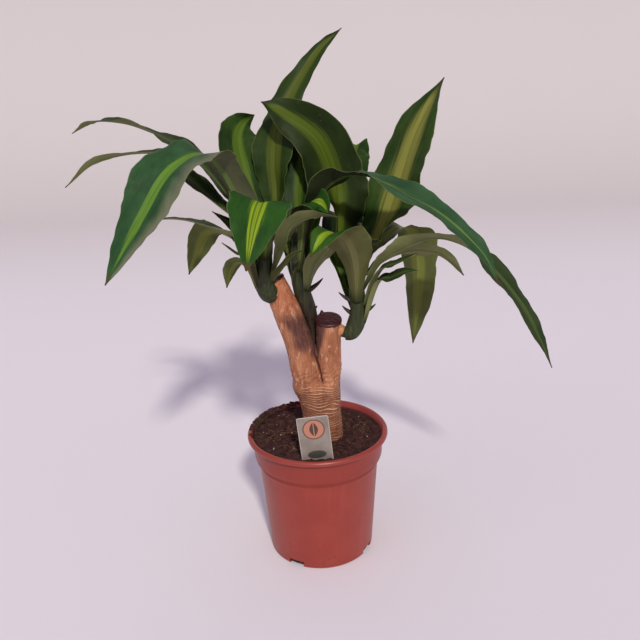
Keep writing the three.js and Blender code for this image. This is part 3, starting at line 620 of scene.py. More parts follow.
class Paint:
    """One node material with a Principled shader, and short names for the nodes it needs."""

    def __init__(self, name):
        self.material = bpy.data.materials.new(name)
        self.material.use_nodes = True
        self.tree = self.material.node_tree
        self.shader = self.tree.nodes["Principled BSDF"]

    def feed(self, sockets, values):
        """Sets or links sockets, each by its name or number."""
        for key, value in values.items():
            if isinstance(value, bpy.types.NodeSocket):
                self.tree.links.new(value, sockets[key])
            else:
                sockets[key].default_value = value

    def node(self, kind, values=None, **settings):
        """The outputs of a new node with these settings and input values."""
        node = self.tree.nodes.new("ShaderNode" + kind)
        for key, value in settings.items():
            setattr(node, key, value)
        self.feed(node.inputs, values or {})
        return node.outputs

    def number(self, name):
        return self.node("Attribute", attribute_name=name)["Fac"]

    def vector(self, name):
        return self.node("Attribute", attribute_name=name)["Vector"]

    def place(self):
        return self.node("TexCoord")["Object"]

    def axes(self, place):
        return self.node("SeparateXYZ", {0: place})

    def math(self, operation, *values):
        return self.node("Math", dict(enumerate(values)), operation=operation)[0]

    def times(self, first, second):
        return self.math("MULTIPLY", first, second)

    def shifted(self, value, cloud, reach):
        """The value moved up and down by a noise."""
        return self.math("MULTIPLY_ADD", self.math("SUBTRACT", cloud, 0.5), reach, value)

    def step(self, value, low, high):
        """0 to 1 softly as the value goes from low to high, which may be the smaller one."""
        return self.node("MapRange", {"Value": value, "From Min": low, "From Max": high},
                         interpolation_type="SMOOTHSTEP")["Result"]

    def span(self, value, low, high):
        """Takes 0 to 1 linearly to low to high."""
        return self.node("MapRange", {"Value": value, "To Min": low, "To Max": high})["Result"]

    def blend(self, share, first, second):
        return self.node("Mix", {0: share, 6: first, 7: second}, data_type="RGBA")[2]

    def between(self, share, first, second):
        """The same as blend, for numbers."""
        return self.node("Mix", {0: share, 2: first, 3: second}, data_type="FLOAT")[0]

    def two(self, value, low, high, first, second):
        """One display colour where the value is low, and softly another where it is high."""
        return self.blend(self.step(value, low, high), linear(first), linear(second))

    def tint(self, colour, share, paint, strength=1.0, light=1.0):
        """Lays a display colour over the colour where the share is 1."""
        if strength < 1:
            share = self.times(share, strength)
        return self.blend(share, colour, linear(paint, light))

    def grain(self, place, scale, detail=3, roughness=0.55):
        """Noise with its own scale along each axis, in features per unit of the place."""
        scale = scale if isinstance(scale, tuple) else (scale,) * 3
        stretched = self.node("VectorMath", {0: place, 1: scale}, operation="MULTIPLY")[0]
        return self.node("TexNoise", {"Vector": stretched, "Scale": 1, "Detail": detail,
                                      "Roughness": roughness})["Fac"]

    def bump(self, height, distance, strength, under=None):
        """Bump from a 0 to 1 height that is worth a distance in millimetres."""
        values = {"Height": height, "Distance": distance * MM, "Strength": strength}
        if under:
            values["Normal"] = under
        return self.node("Bump", values)["Normal"]

    def finish(self, colour, roughness, normal, specular=0.5):
        self.feed(self.shader.inputs, {"Base Color": colour, "Roughness": roughness,
                                       "Normal": normal, "Specular IOR Level": specular})
        return self.material


def pot_material():
    p = Paint("pot_plastic")
    place = p.place()
    height = p.axes(place)["Z"]

    def rising(start, full):
        return p.step(height, start * MM, full * MM)

    def band(start, full, fade, end):
        return p.times(rising(start, full), rising(end, fade))

    red = p.two(p.grain(place, 30, 2), 0.3, 0.7, (147, 51, 37), (155, 57, 42))
    # Lighter vertical streaks: a painted sheen.
    sheen_streaks = p.step(p.grain(place, (80, 80, 5)), 0.5, 0.8)
    red = p.tint(red, sheen_streaks, (172, 76, 60), 0.25)
    # The lighter rim roll is a painted highlight.
    red = p.tint(red, rising(*RIM_HIGHLIGHT), (150, 60, 50), 0.45)
    # The dark band in the nook under the rim roll is painted shade.
    red = p.tint(red, band(*UNDER_RIM_SHADE), (84, 30, 26), 0.75)
    red = p.tint(red, band(*COLLAR_PAINT), (136, 44, 33), 0.5)
    seam = band(*SEAM_PAINT)
    red = p.tint(red, seam, (148, 48, 32), 0.6)
    dust = p.times(p.step(p.grain(place, 430, 2), 0.6, 0.68),
                   p.span(rising(*DUST_PAINT), 0.2, 1.0))
    patch = p.step(p.grain(place, 60, 2), 0.45, 0.6)
    red = p.tint(red, p.times(dust, patch), (58, 32, 28), 0.85)
    scuff = p.step(p.grain(place, (240, 240, 900), 2), 0.68, 0.76)
    red = p.tint(red, scuff, (206, 140, 126), 0.15)
    rough = p.math("MULTIPLY_ADD", seam, 0.5, p.span(p.grain(place, 110, 4), 0.3, 0.46))
    normal = p.bump(p.grain(place, 2600, 2), 0.05, 0.3)
    normal = p.bump(p.grain(place, (30, 30, 14), 2), 0.8, 0.25, normal)
    return p.finish(red, rough, normal)


def soil_material():
    p = Paint("soil")
    place = p.place()
    kind = p.number("kind")
    fine = p.grain(place, 900, 4, 0.7)
    coarse = p.grain(place, 160, 4, 0.65)
    earth = p.two(coarse, 0.3, 0.7, (44, 23, 22), (80, 50, 45))
    earth = p.tint(earth, p.step(fine, 0.58, 0.72), (124, 88, 78))
    earth = p.tint(earth, p.step(fine, 0.42, 0.3), (26, 14, 13))
    moss = p.times(p.step(p.number("moss"), 0.2, 0.8), p.step(coarse, 0.42, 0.6))
    earth = p.tint(earth, moss, (78, 84, 40), 0.14)
    fibre = p.two(fine, 0.35, 0.65, (92, 62, 48), (146, 108, 84))
    pale = p.two(fine, 0.35, 0.65, (168, 150, 138), (206, 194, 184))
    colour = p.blend(p.step(kind, FIBRE - 0.6, FIBRE - 0.4), earth, fibre)
    colour = p.blend(p.step(kind, SPECK - 0.6, SPECK - 0.4), colour, pale)
    normal = p.bump(p.grain(place, 1500, 4, 0.7), 0.5, 0.8)
    normal = p.bump(p.grain(place, 420, 3, 0.6), 1.2, 0.7, normal)
    return p.finish(colour, p.span(coarse, 0.82, 1.0), normal, 0.2)


def bark_material():
    """Copper bark that flakes above the fork, and bark with rings of leaf scars below it."""
    p = Paint("bark")
    place = p.place()
    lower = p.number("lower")
    knob = p.number("knob")
    streak = p.grain(place, (520, 520, 34), 4, 0.6)
    broad = p.grain(place, (120, 120, 22), 3, 0.6)
    tan = p.two(broad, 0.3, 0.7, (150, 92, 62), (194, 132, 94))
    tan = p.tint(tan, p.step(streak, 0.44, 0.3), (108, 60, 42), 0.6)
    tan = p.tint(tan, p.step(streak, 0.56, 0.7), (214, 160, 124), 0.7)
    tan = p.tint(tan, p.number("patch"), (150, 90, 58), 0.5)
    flakes = p.step(p.grain(place, (210, 210, 90), 4, 0.65), 0.57, 0.62)
    tan = p.tint(tan, flakes, (222, 168, 134), 0.6)
    nicks = p.grain(place, (160, 160, 700), 3, 0.6)
    nicks = p.step(p.math("MULTIPLY_ADD", p.number("rust"), 0.05, nicks), 0.63, 0.68)
    tan = p.tint(tan, nicks, (96, 48, 38), 0.55)
    flat = p.grain(place, (45, 45, 260), 3, 0.5)
    ringed = p.two(broad, 0.3, 0.7, (140, 84, 58), (168, 108, 76))
    ringed = p.tint(ringed, p.step(flat, 0.55, 0.72), (196, 140, 106), 0.5)
    cycle = p.math("FRACT", p.shifted(p.number("level"), flat, 0.45))
    worn = p.grain(place, (70, 70, 110), 3, 0.6)
    lip = p.times(p.step(cycle, 0.34, 0.12), p.step(worn, 0.32, 0.5))
    ringed = p.tint(ringed, lip, (236, 190, 150), 0.9)
    groove = p.times(p.step(cycle, 0.68, 0.92), p.step(worn, 0.66, 0.46))
    ringed = p.tint(ringed, groove, (92, 48, 34), 0.9)
    colour = p.blend(lower, tan, ringed)
    maroon = p.two(streak, 0.35, 0.65, (62, 34, 34), (88, 54, 50))
    # Maroon: real stain on the left arm, and painted shade in the fork.
    colour = p.blend(p.number("stain_and_shade"), colour, maroon)
    rust = p.two(streak, 0.35, 0.65, (160, 82, 56), (202, 124, 90))
    colour = p.blend(p.number("rust"), colour, rust)
    colour = p.tint(colour, p.number("crack"), (44, 20, 18))
    # Painted shade: darker where the bark is pushed in, in its grooves and cracks.
    colour = p.tint(colour, p.step(p.number("relief"), -0.3, -0.8), (92, 48, 36), 0.6)
    bud = p.two(streak, 0.3, 0.7, (178, 110, 74), (210, 150, 108))
    colour = p.blend(knob, colour, bud)
    rough = p.math("SUBTRACT", p.span(broad, 0.62, 0.86), p.times(knob, 0.25))
    normal = p.bump(streak, 0.4, 0.45)
    normal = p.bump(p.times(cycle, lower), 1.2, 0.7, normal)
    normal = p.bump(p.grain(place, 1400), 0.2, 0.35, normal)
    return p.finish(colour, rough, normal, 0.3)


def wax_material():
    p = Paint("wax")
    place = p.place()
    cloud = p.grain(place, 220, 4)
    colour = p.two(cloud, 0.3, 0.7, (52, 18, 22), (74, 28, 30))
    colour = p.tint(colour, p.step(p.grain(place, 900), 0.62, 0.75), (118, 84, 78), 0.22)
    normal = p.bump(cloud, 0.9, 0.6, p.bump(p.grain(place, 1300, 2), 0.2, 0.4))
    return p.finish(colour, p.span(p.grain(place, 300), 0.32, 0.6), normal)


def label_material():
    """A card with a leaf in a disc, a soft spot under it, a pale border and dirt at its foot."""
    p = Paint("label_plastic")
    place = p.place()
    width, length, _ = LABEL_SIZE
    card = p.axes(p.vector("card"))
    across, up = card["X"], card["Z"]
    side = p.math("ABSOLUTE", across)
    squared = p.times(across, across)
    base = p.two(p.grain(place, 60), 0.3, 0.7, (132, 121, 109), (150, 140, 129))
    rise = p.math("SUBTRACT", up, DISC_HEIGHT)
    far = p.math("SQRT", p.math("ADD", squared, p.times(rise, rise)))
    disc = p.step(far, DISC_RADIUS + 0.3, DISC_RADIUS - 0.3)
    base = p.tint(base, disc, (186, 126, 100))
    bow = p.math("COSINE", p.times(rise, math.pi / (2 * MOTIF_REACH)))
    leaf = p.times(p.step(p.math("SUBTRACT", p.times(bow, MOTIF_WIDTH), side), -0.3, 0.3),
                   p.step(p.math("ABSOLUTE", rise), MOTIF_REACH, MOTIF_REACH - 0.4))
    rib = p.step(side, 0.3, 0.7)
    base = p.tint(base, p.times(leaf, rib), (58, 40, 30), 0.9)
    outline = p.step(far, DISC_RADIUS - DISC_LINE[0], DISC_RADIUS - DISC_LINE[1])
    base = p.tint(base, p.times(disc, outline), (62, 40, 32), 0.8)
    drop = p.math("SUBTRACT", up, BLOB_HEIGHT)
    spot = p.math("ADD", p.times(squared, BLOB_FLATNESS), p.times(drop, drop))
    base = p.tint(base, p.step(spot, *BLOB_EDGE), (30, 42, 30), 0.85)
    edge = p.math("MAXIMUM", p.step(side, *(width / 2 - gap for gap in BORDER)),
                  p.step(up, *(length - gap for gap in BORDER)))
    base = p.tint(base, edge, (196, 188, 178), 0.7)
    dirt = p.times(p.step(p.grain(place, 420), 0.6, 0.75), p.step(up, *DIRT))
    base = p.tint(base, dirt, (82, 58, 50), 0.7)
    normal = p.bump(p.grain(place, 90, 2), 0.5, 0.2)
    return p.finish(base, p.span(p.grain(place, 160), 0.34, 0.5), normal)


def stem_material():
    p = Paint("shoot_stem")
    place = p.place()
    axes = p.axes(place)
    relief, clasped = p.number("relief"), p.number("clasp")
    streak = p.grain(place, (420, 420, 40), 4, 0.6)
    cloud = p.grain(place, 120)
    green = p.two(streak, 0.3, 0.7, (42, 48, 28), (66, 72, 42))
    green = p.tint(green, p.step(cloud, 0.5, 0.68), (74, 66, 44), 0.6)
    green = p.tint(green, p.step(relief, 0.1, 0.4), (94, 94, 62), 0.4)
    # Painted shade: darker where the stem's skin is pushed in.
    green = p.tint(green, p.step(relief, -0.05, -0.3), (26, 26, 18), 0.7)
    base = p.two(streak, 0.3, 0.7, (40, 46, 24), (62, 68, 38))
    base = p.tint(base, p.step(clasped, 1.9, 2.0), (104, 108, 70), 0.5)
    green = p.blend(p.step(clasped, 0.4, 0.6), green, base)
    spike = p.two(streak, 0.3, 0.7, (34, 32, 20), (62, 56, 38))
    green = p.blend(p.number("bract"), green, spike)
    # The middle stem's foot in the fork: brown wood, darkened further as painted shade.
    foot = p.times(p.step(axes["Z"], *(height * MM for height in WOODY_AND_SHADED_BELOW)),
                   p.step(axes["X"], *(x * MM for x in WOODY_AND_SHADED_LEFT_OF)))
    woody_and_shaded = p.two(streak, 0.3, 0.7, (34, 23, 19), (58, 40, 31))
    green = p.blend(p.times(foot, 0.9), green, woody_and_shaded)
    return p.finish(green, p.span(cloud, 0.45, 0.68), p.bump(streak, 0.3, 0.45), 0.3)


def leaf_material(name, look):
    """Dark margins, a streaked stripe down the middle, a paler underside and a dry tip."""
    p = Paint("leaf_" + name)
    grain = p.vector("grain")
    side, share, upper = p.number("across"), p.number("share"), p.number("upper")
    across = p.math("ABSOLUTE", side)
    streak = p.grain(grain, (0.4, 0.012, 1), 3, 0.6)
    fine = p.grain(grain, (1.9, 0.02, 1), 2, 0.6)
    cloud = p.grain(grain, (0.05, 0.03, 1), 3, 0.6)
    blade = p.two(cloud, 0.32, 0.68, look["shade"], look["blade"])
    blade = p.tint(blade, p.step(fine, 0.55, 0.8), look["stripe"], 0.18, light=0.7)
    # A painted sheen: one side of the blade tinted greyish.
    if "painted_sheen" in look:
        painted_sheen = p.step(p.shifted(side, cloud, 0.6), 0.3, 0.9)
        blade = p.tint(blade, painted_sheen, look["painted_sheen"], 0.75)
    soft = look.get("soft", 0.06)
    stripe = p.step(p.shifted(across, streak, 0.5), look["width"] + soft, look["width"] - soft)
    stripe = p.times(stripe, p.span(p.step(fine, 0.36, 0.5), 1 - look["fine"], 1.0))
    if "bands" in look:
        wave = p.math("COSINE", p.times(side, math.tau / look["bands"]))
        stripe = p.times(stripe, p.span(p.step(wave, -0.7, 0.1), 0.35, 1.0))
    stripe = p.times(stripe, p.step(share, 0.985, 0.9))
    top = p.tint(blade, stripe, look["stripe"])
    top = p.tint(top, p.step(across, 0.03, 0.0), look["shade"], 0.35)
    under = p.blend(p.step(cloud, 0.3, 0.7), linear(look["under"], 0.8), linear(look["under"]))
    under = p.tint(under, p.step(fine, 0.5, 0.75), look["under"], 0.3, light=1.25)
    under = p.tint(under, stripe, look.get("mark", look["stripe"]), 0.5)
    under = p.tint(under, p.step(across, 0.06, 0.02), look["under"], 0.5, light=1.5)
    colour = p.blend(upper, under, top)
    colour = p.tint(colour, p.step(share, 0.1, 0.0), LEAF_ROOT)
    colour = p.tint(colour, p.step(across, 0.96, 0.99), LEAF_EDGE, 0.6)
    blotch = p.grain(grain, (0.22, 0.1, 1), 3, 0.65)
    scorch = p.times(p.step(across, 0.82, 0.98), p.step(blotch, 0.62, 0.72))
    colour = p.tint(colour, scorch, LEAF_SCORCH, 0.7)
    spots = p.step(p.grain(grain, (0.5, 0.35, 1), 1), 0.74, 0.78)
    colour = p.tint(colour, spots, LEAF_SPOTS, 0.16)
    colour = p.tint(colour, p.step(p.shifted(share, blotch, 0.1), 0.965, 0.995), LEAF_TIP)
    sheen = p.step(streak, 0.3, 0.7)
    rough = p.between(upper, p.span(sheen, 0.54, 0.68), p.span(sheen, 0.42, 0.54))
    normal = p.bump(p.grain(grain, (1.1, 0.012, 1), 2, 0.5), 0.3, 0.4)
    normal = p.bump(p.grain(grain, (0.09, 0.045, 1), 2, 0.5), 1.8, 0.4, normal)
    return p.finish(colour, rough, normal, 0.09)


def stage_material():
    p = Paint("stage")
    place = p.node("NewGeometry")["Position"]
    cloud = p.grain(place, 2.4, 2)
    colour = p.two(p.axes(place)["Y"], 0.6, 3.2, FLOOR_COLOUR, WALL_COLOUR)
    colour = p.tint(colour, cloud, (190, 176, 190), 0.06)
    normal = p.bump(p.grain(place, 240, 2), 0.2, 0.1)
    return p.finish(colour, p.span(cloud, 0.72, 0.9), normal, 0.2)


# ---- Pot ----

def rounded(profile):
    """Replaces each corner [radius, height, rounding] of an open outline with a short curve."""
    corners = [np.array(row[:2], float) for row in profile]
    line = [corners[0]]
    for before, middle, after, row in zip(corners, corners[1:], corners[2:], profile[1:]):
        start, end = before - middle, after - middle
        reach = min(row[2], 0.45 * np.linalg.norm(start), 0.45 * np.linalg.norm(end))
        start, end = middle + unit(start) * reach, middle + unit(end) * reach
        for t in np.linspace(0, 1, 5):
            line.append((1 - t) ** 2 * start + 2 * t * (1 - t) * middle + t * t * end)
    return [*line, corners[-1]]


def drain_cutter():
    """One box for each drain notch."""
    faces = [(0, 1, 3, 2), (4, 6, 7, 5), (0, 4, 5, 1), (2, 3, 7, 6), (0, 2, 6, 4), (1, 5, 7, 3)]
    across, along_foot, high = (size / 2 for size in DRAIN_SIZE)
    corners = [Vector((DRAIN_MIDDLE + x, y, z)) for x in (-across, across)
               for y in (-along_foot, along_foot) for z in (-high, high)]
    spins = [Matrix.Rotation(math.radians(DRAIN_TURN) + turn, 3, "Z")
             for turn in circle(DRAIN_COUNT)]
    boxes = [([spin @ corner for corner in corners], faces) for spin in spins]
    return show(new_mesh("drain_cutter", *joined(boxes)), "drain_cutter")


def build_pot():
    points = [(*polar(radius, turn), height) for radius, height in rounded(POT_PROFILE)
              for turn in circle(POT_SIDES)]
    faces = tube_faces(len(points) // POT_SIDES, POT_SIDES)
    pot = show(new_mesh("pot", points, faces), "nursery_pot", pot_material())
    cutter = drain_cutter()
    cut = pot.modifiers.new("Drains", "BOOLEAN")
    cut.object = cutter
    cut.operation = "DIFFERENCE"
    cut.solver = "EXACT"
    apply(pot)
    bpy.data.objects.remove(cutter)
    sharpen(pot.data, 40)
    dress(pot, "pot")


# ---- Soil ----

def soil_height(x, y):
    """The CAD surface with its clods, and the finer lumps that only the visual model has."""
    edge = min(1.0, max(0.0, (SOIL_RADIUS + 0.3 - math.hypot(x, y)) / SOIL_EDGE))
    dish = SOIL_DISH * math.exp(-(x * x + y * y) / (2 * SOIL_DISH_SPREAD ** 2))
    clods = sum(high * math.sin(ax * x + ay * y + lag) for ax, ay, lag, high in SOIL_CLODS)
    lumps = 2.3 * wobble(x / 7, y / 7, 3) + 1.2 * wobble(x / 2.6, y / 2.6, 9)
    grit = 0.5 * wobble(x / 1.1, y / 1.1, 17)
    return (SOIL_TOP - dish - SOIL_SLOPE * (x + y) + SOIL_ROUGHNESS * clods * edge
            + (lumps + grit) * mix(0.5, 1, edge))


def soil_body():
    """The root ball: a tapered wall, an edge that follows the flared rim, and a rough top."""
    turns = circle(SOIL_SIDES)
    rings = [[(radius, height)] * SOIL_SIDES for radius, height in SOIL_WALL]
    heights = [soil_height(*polar(SOIL_RADIUS, turn)) for turn in turns]
    rings.append([(SOIL_RADIUS, min(SOIL_FLARE, height - 0.4)) for height in heights])
    flares = [max((height - SOIL_FLARE) * SOIL_FLARE_SLOPE, 0) for height in heights]
    rings.append([(SOIL_RADIUS + min(flare, SOIL_FLARE_REACH), height)
                  for flare, height in zip(flares, heights)])
    for i in range(SOIL_RINGS - 1, 0, -1):
        radius = SOIL_RADIUS * i / SOIL_RINGS
        rings.append([(radius, soil_height(*polar(radius, turn))) for turn in turns])
    points = [(*polar(radius, turn), height)
              for line in rings for turn, (radius, height) in zip(turns, line)]
    return points, tube_faces(len(rings), SOIL_SIDES)


def blob(centre, size, rng):
    """An irregular crumb: an octahedron with its edges split once, pushed in and out."""
    corners = [Vector(c) for c in ((1, 0, 0), (-1, 0, 0), (0, 1, 0), (0, -1, 0), (0, 0, 1),
                                   (0, 0, -1))]
    sides = ((0, 2, 4), (2, 1, 4), (1, 3, 4), (3, 0, 4), (2, 0, 5), (1, 2, 5), (3, 1, 5),
             (0, 3, 5))
    middles, faces = {}, []

    def middle(a, b):
        key = (min(a, b), max(a, b))
        if key not in middles:
            middles[key] = len(corners)
            corners.append((corners[a] + corners[b]).normalized())
        return middles[key]

    for a, b, c in sides:
        ab, bc, ca = middle(a, b), middle(b, c), middle(c, a)
        faces += [(a, ab, ca), (ab, b, bc), (ca, bc, c), (ab, bc, ca)]
    flat = rng.uniform(0.55, 0.95)
    spin = Matrix.Rotation(rng.uniform(0, math.tau), 3, "Z") @ Matrix.Rotation(
        rng.uniform(-0.6, 0.6), 3, "X")
    points = []
    for corner in corners:
        swell = size * rng.uniform(0.72, 1.12)
        shaped = Vector((corner.x * swell * rng.uniform(0.95, 1.2), corner.y * swell,
                         corner.z * swell * flat))
        points.append(Vector(centre) + spin @ shaped)
    return points, faces


def fibre(x, y, turn, length, rng):
    """A thin curly root or bark fibre that lies on the soil."""
    sides, steps = 4, 9
    points = []
    place = Vector((x, y, 0))
    bend = rng.uniform(-0.5, 0.5)
    lift = rng.uniform(0.0, 0.5)
    for i in range(steps):
        share = i / (steps - 1)
        turn += bend * rng.uniform(0.4, 1.4)
        place = place + Vector((*polar(1, turn), 0)) * (length / steps)
        arch = lift * length * 0.3 * math.sin(math.pi * share)
        height = soil_height(place.x, place.y) + 0.5 + arch
        radius = FIBRE_RADIUS * (1 - 0.6 * share)
        side = Vector((-math.sin(turn), math.cos(turn), 0))
        for angle in circle(sides):
            points.append(Vector((place.x, place.y, height)) + side * radius * math.cos(angle)
                          + Vector((0, 0, radius * math.sin(angle))))
    return points, tube_faces(steps, sides)


def soil_spot(rng, reach):
    """A random place on the soil, clear of the trunk."""
    trunk_x, trunk_y = TRUNK_FOOT[0][:2]
    while True:
        radius = reach * math.sqrt(rng.random())
        x, y = polar(radius, rng.uniform(0, math.tau))
        if math.hypot(x - trunk_x, y - trunk_y) > TRUNK_CLEARANCE:
            return x, y


def scattered():
    """All that lies on the soil and the rim, each as its body and its kind."""
    rng = random.Random(SOIL_SEED)
    for _ in range(CRUMBS):
        x, y = soil_spot(rng, CRUMB_REACH)
        size = min(CRUMB_LIMIT, 0.6 * math.exp(rng.gauss(0.4, 0.55)))
        yield blob((x, y, soil_height(x, y) + size * 0.25), size, rng), EARTH
    for _ in range(SPILT):
        turn = math.radians(rng.gauss(*SPILT_TURN))
        radius = rng.uniform(*SPILT_REACH)
        size = rng.uniform(0.7, 2.4)
        level = SPILT_LEVELS[radius > RIM_EDGE]
        yield blob((*polar(radius, turn), level + size * 0.4), size, rng), EARTH
    for _ in range(SPECKS):
        x, y = soil_spot(rng, SPECK_REACH)
        size = rng.uniform(0.45, 1.1)
        yield blob((x, y, soil_height(x, y) + size * 0.5), size, rng), SPECK
    for _ in range(FIBRES):
        x, y = soil_spot(rng, FIBRE_REACH)
        yield fibre(x, y, rng.uniform(0, math.tau), rng.uniform(6, 18), rng), FIBRE


def build_soil():
    bodies = [(soil_body(), EARTH), *scattered()]
    points, faces = joined(body for body, _ in bodies)
    kinds = [kind for body, kind in bodies for _ in body[0]]
    x, y, _ = np.array(points).T
    off_moss = np.abs(np.abs(np.degrees(np.arctan2(y, x))) - MOSS_TURN)
    moss = ease(np.hypot(x, y), *MOSS_REACH) * (1 - ease(off_moss, *MOSS_SPREAD))
    mesh = new_mesh("soil_full", points, faces, kind=kinds, moss=moss)
    soil = show(mesh, "potting_soil", soil_material())
    sharpen(mesh, 55)
    dress(soil, "soil")


# ---- Trunk and wax ----

def ring(centre, axis, half_width, half_depth, sides):
    deep = unit(np.array([0, 1, 0]) - axis * axis[1])
    wide = np.cross(deep, axis)
    return [centre + wide * half_width * math.cos(t) + deep * half_depth * math.sin(t)
            for t in circle(sides)]


def tilted(axis, degrees):
    """The axis of a sawn end, which leans forward by some degrees."""
    return rotated(axis, np.array([1.0, 0, 0]), degrees)


def loft(rows, steps, sides, end_tilt=0):
    points = []
    for i in range(steps + 1):
        row, axis = along(rows, i / steps), axis_at(rows, i / steps)
        if i == steps:
            axis = tilted(axis, end_tilt)
        points += ring(row[:3], axis, row[3], row[4], sides)
    return points, tube_faces(steps + 1, sides)


def ball(centre, radius):
    points = []
    steps, sides = 12, 20
    for i in range(steps + 1):
        lift = math.pi * (i / steps - 0.5)
        size = max(radius * math.cos(lift), 0.05)
        points += [np.array(centre) + np.array([*polar(size, turn), radius * math.sin(lift)])
                   for turn in circle(sides)]
    return points, tube_faces(steps + 1, sides)


def arm_middle(x, z):
    """Middle of the arm that a point of the upper trunk belongs to."""
    left, right = (np.interp(z, [row[2] for row in arm], [row[0] for row in arm])
                   for arm in (LEFT_ARM, RIGHT_ARM))
    return left if abs(x - left) < abs(x - right) or z > RIGHT_ARM_END else right


def scar_relief(x, y, z):
    """How far round the rings of leaf scars a point is, in rings, and its height there."""
    turn = math.atan2(y - TRUNK_AXIS[1], x - TRUNK_AXIS[0])
    c, s = polar(1, turn)
    slant = 2.0 * math.sin(turn + 0.9) + 4.2 * wobble(c * 1.2, s * 1.2, z / 16)
    ripples = 0.8 * wobble(c * 2.4, s * 2.4, z / 8) + 0.25 * wobble(c * 7, s * 7, z / 4)
    level = (z + slant + ripples) / SCAR_PITCH
    cycle = level % 1.0
    lip = (1 - cycle) ** 1.6 - 0.4
    groove = 0.8 * bell(min(cycle, 1 - cycle), 0.09)
    uneven = 0.65 + 0.6 * wobble(c * 2.2 + 5, s * 2.2, z / 9)
    return level, SCAR_RELIEF * (lip - groove) * uneven


def trunk_relief(x, y, z):
    """What the bark has at a point of the plain form, each value under its attribute's name."""
    level, scars = scar_relief(x, y, z)
    u, v = x - arm_middle(x, z), y - TRUNK_AXIS[1]
    fibres = 0.26 * wobble(u / 2.4, v / 2.4, z / 30) + 0.16 * wobble(u / 1.1, v / 1.1, z / 13)
    patch = ease(wobble(u / 9 + 3, v / 9, z / 24), 0.06, 0.14)
    folds = 0.45 * math.sin(z - 0.5 * u + 4 * wobble(u / 6, v / 6, z / 9))
    crease = bell(wobble(u / 6 + 11, v / 6 + 4, z / 40), 0.03)
    bark = fibres + 0.32 * patch + folds * zone(z, *FOLD_ZONE) - 0.5 * crease
    upper = ease(z + 5 * wobble(u / 9, v / 9, 2), SCAR_TOP - 6, SCAR_TOP + 8)
    near = np.interp(-z, [-row[1] for row in CREVICE], [row[0] for row in CREVICE])
    crack = bell(x - (near + 1.1 * wobble(z / 4, 2, 5)), 0.9)
    crack *= zone(z, *CRACK_ZONE) * ease(-y, 8, 14)
    # Maroon on the left arm towards the fork: partly real stain, partly painted shade.
    start, full, fade, end = STAIN_AND_SHADE_ZONE
    stain_and_shade = 0.0
    if x < near + 4:
        stain_and_shade = (ease(u + 7 * wobble(u / 9, v / 9, z / 14), -13, 2) * ease(z, start, full)
                 * ease(-z - 5 * wobble(u / 8, 3, 1), -end, -fade))
    # Painted shade down the fork's crevice, on both arms.
    start, full = CREVICE_SHADE
    inner = ease(-abs(x - near - 0.25 * max(0, z - full)), -8, -4) * ease(z, start, full)
    rust = ease(z + 4 * wobble(u / 6, v / 6, 8), *RUST) if x < 0 else 0.0
    return dict(relief=mix(scars + 0.25 * fibres, bark, upper) - 1.5 * crack, lower=1 - upper,
                level=level, patch=patch * upper, crack=min(1, crack * 1.3),
                stain_and_shade=min(1, 0.85 * max(stain_and_shade, inner)), rust=0.45 * rust)


def build_trunk(material):
    bodies = [loft(TRUNK_FOOT, 60, 72), loft(LEFT_ARM, 60, 60),
              loft(RIGHT_ARM, 45, 60, CUT_TILT), ball(KNOB, KNOB_RADIUS)]
    trunk = grown(bodies, "cane", TRUNK_VOXEL, 8)
    where = places(trunk.data)
    marks = [trunk_relief(*point) for point in where]
    bud = 1 - ease(np.linalg.norm(where - np.array(KNOB), axis=1), *KNOB_BARK)
    bud *= ease(where[:, 0], *KNOB_SIDE)
    relief = np.array([mark.pop("relief") for mark in marks])
    push(trunk, relief * (1 - 0.8 * bud))
    for key in marks[0]:
        put(trunk.data, key, [mark[key] for mark in marks])
    put(trunk.data, "knob", bud)
    trunk.data.materials.append(material)
    dress(trunk, "trunk")


def build_wax(name, node, rows, end_tilt, seed, material):
    """Sealing wax on a sawn end: a lumpy skin whose edge runs down the bark in short drips."""
    centre, half_width, half_depth = np.array(rows[-1][:3], float), *rows[-1][3:]
    axis = tilted(axis_at(rows, 1), end_tilt)
    top = WAX_ROWS[-1][0]

    def line(lift, inset, share=1.0):
        return ring(centre + axis * lift, axis, (half_width + inset) * share,
                    (half_depth + inset) * share, WAX_SIDES)

    drips, nubs = [], []
    for turn in circle(WAX_SIDES):
        c, s = polar(1, turn)
        drip = 1.2 + 1.3 * wobble(c * 1.7 + seed, s * 1.7, seed)
        drip += 2.2 * max(0.0, wobble(c * 4 + seed, s * 4, 7))
        drips.append(drip + DRIP_LENGTH * bell(turn - DRIP_TURN, DRIP_SPREAD))
        nubs.append(NUB_HEIGHT * bell(turn - NUB_TURN, NUB_SPREAD))
    points = line(0.1, -3)
    for lift, inset, hang in WAX_ROWS:
        points += [point + axis * (nub * ease(lift, 1.5, 2.3) - hang * drip)
                   for point, drip, nub in zip(line(lift, inset), drips, nubs)]
    for share in np.linspace(0.8, 0.08, 9):
        points += [point + axis * 0.7 * wobble(point[0] / 4, point[1] / 4, seed)
                   for point in line(top, -2, share)]
    faces = tube_faces(len(points) // WAX_SIDES, WAX_SIDES)
    cap = show(new_mesh(name, points, faces), name, material)
    dress(cap, node)


# ---- Leaves and stems ----

def blade_width(leaf, share):
    shape = {**BLADE, **leaf}
    place, depth = shape["pinch"]
    full = shape["width"] * (1 - depth * bell(share - place, PINCH_REACH))
    widest = shape["widest"]
    if share < widest:
        rise = math.sin(math.pi / 2 * share / widest) ** shape["swell"]
        return full * mix(shape["root"], 1, rise)
    rest = (share - widest) / (1 - widest)
    return max(full * (1 - rest ** shape["taper"]), LEAF_TIP_WIDTH)


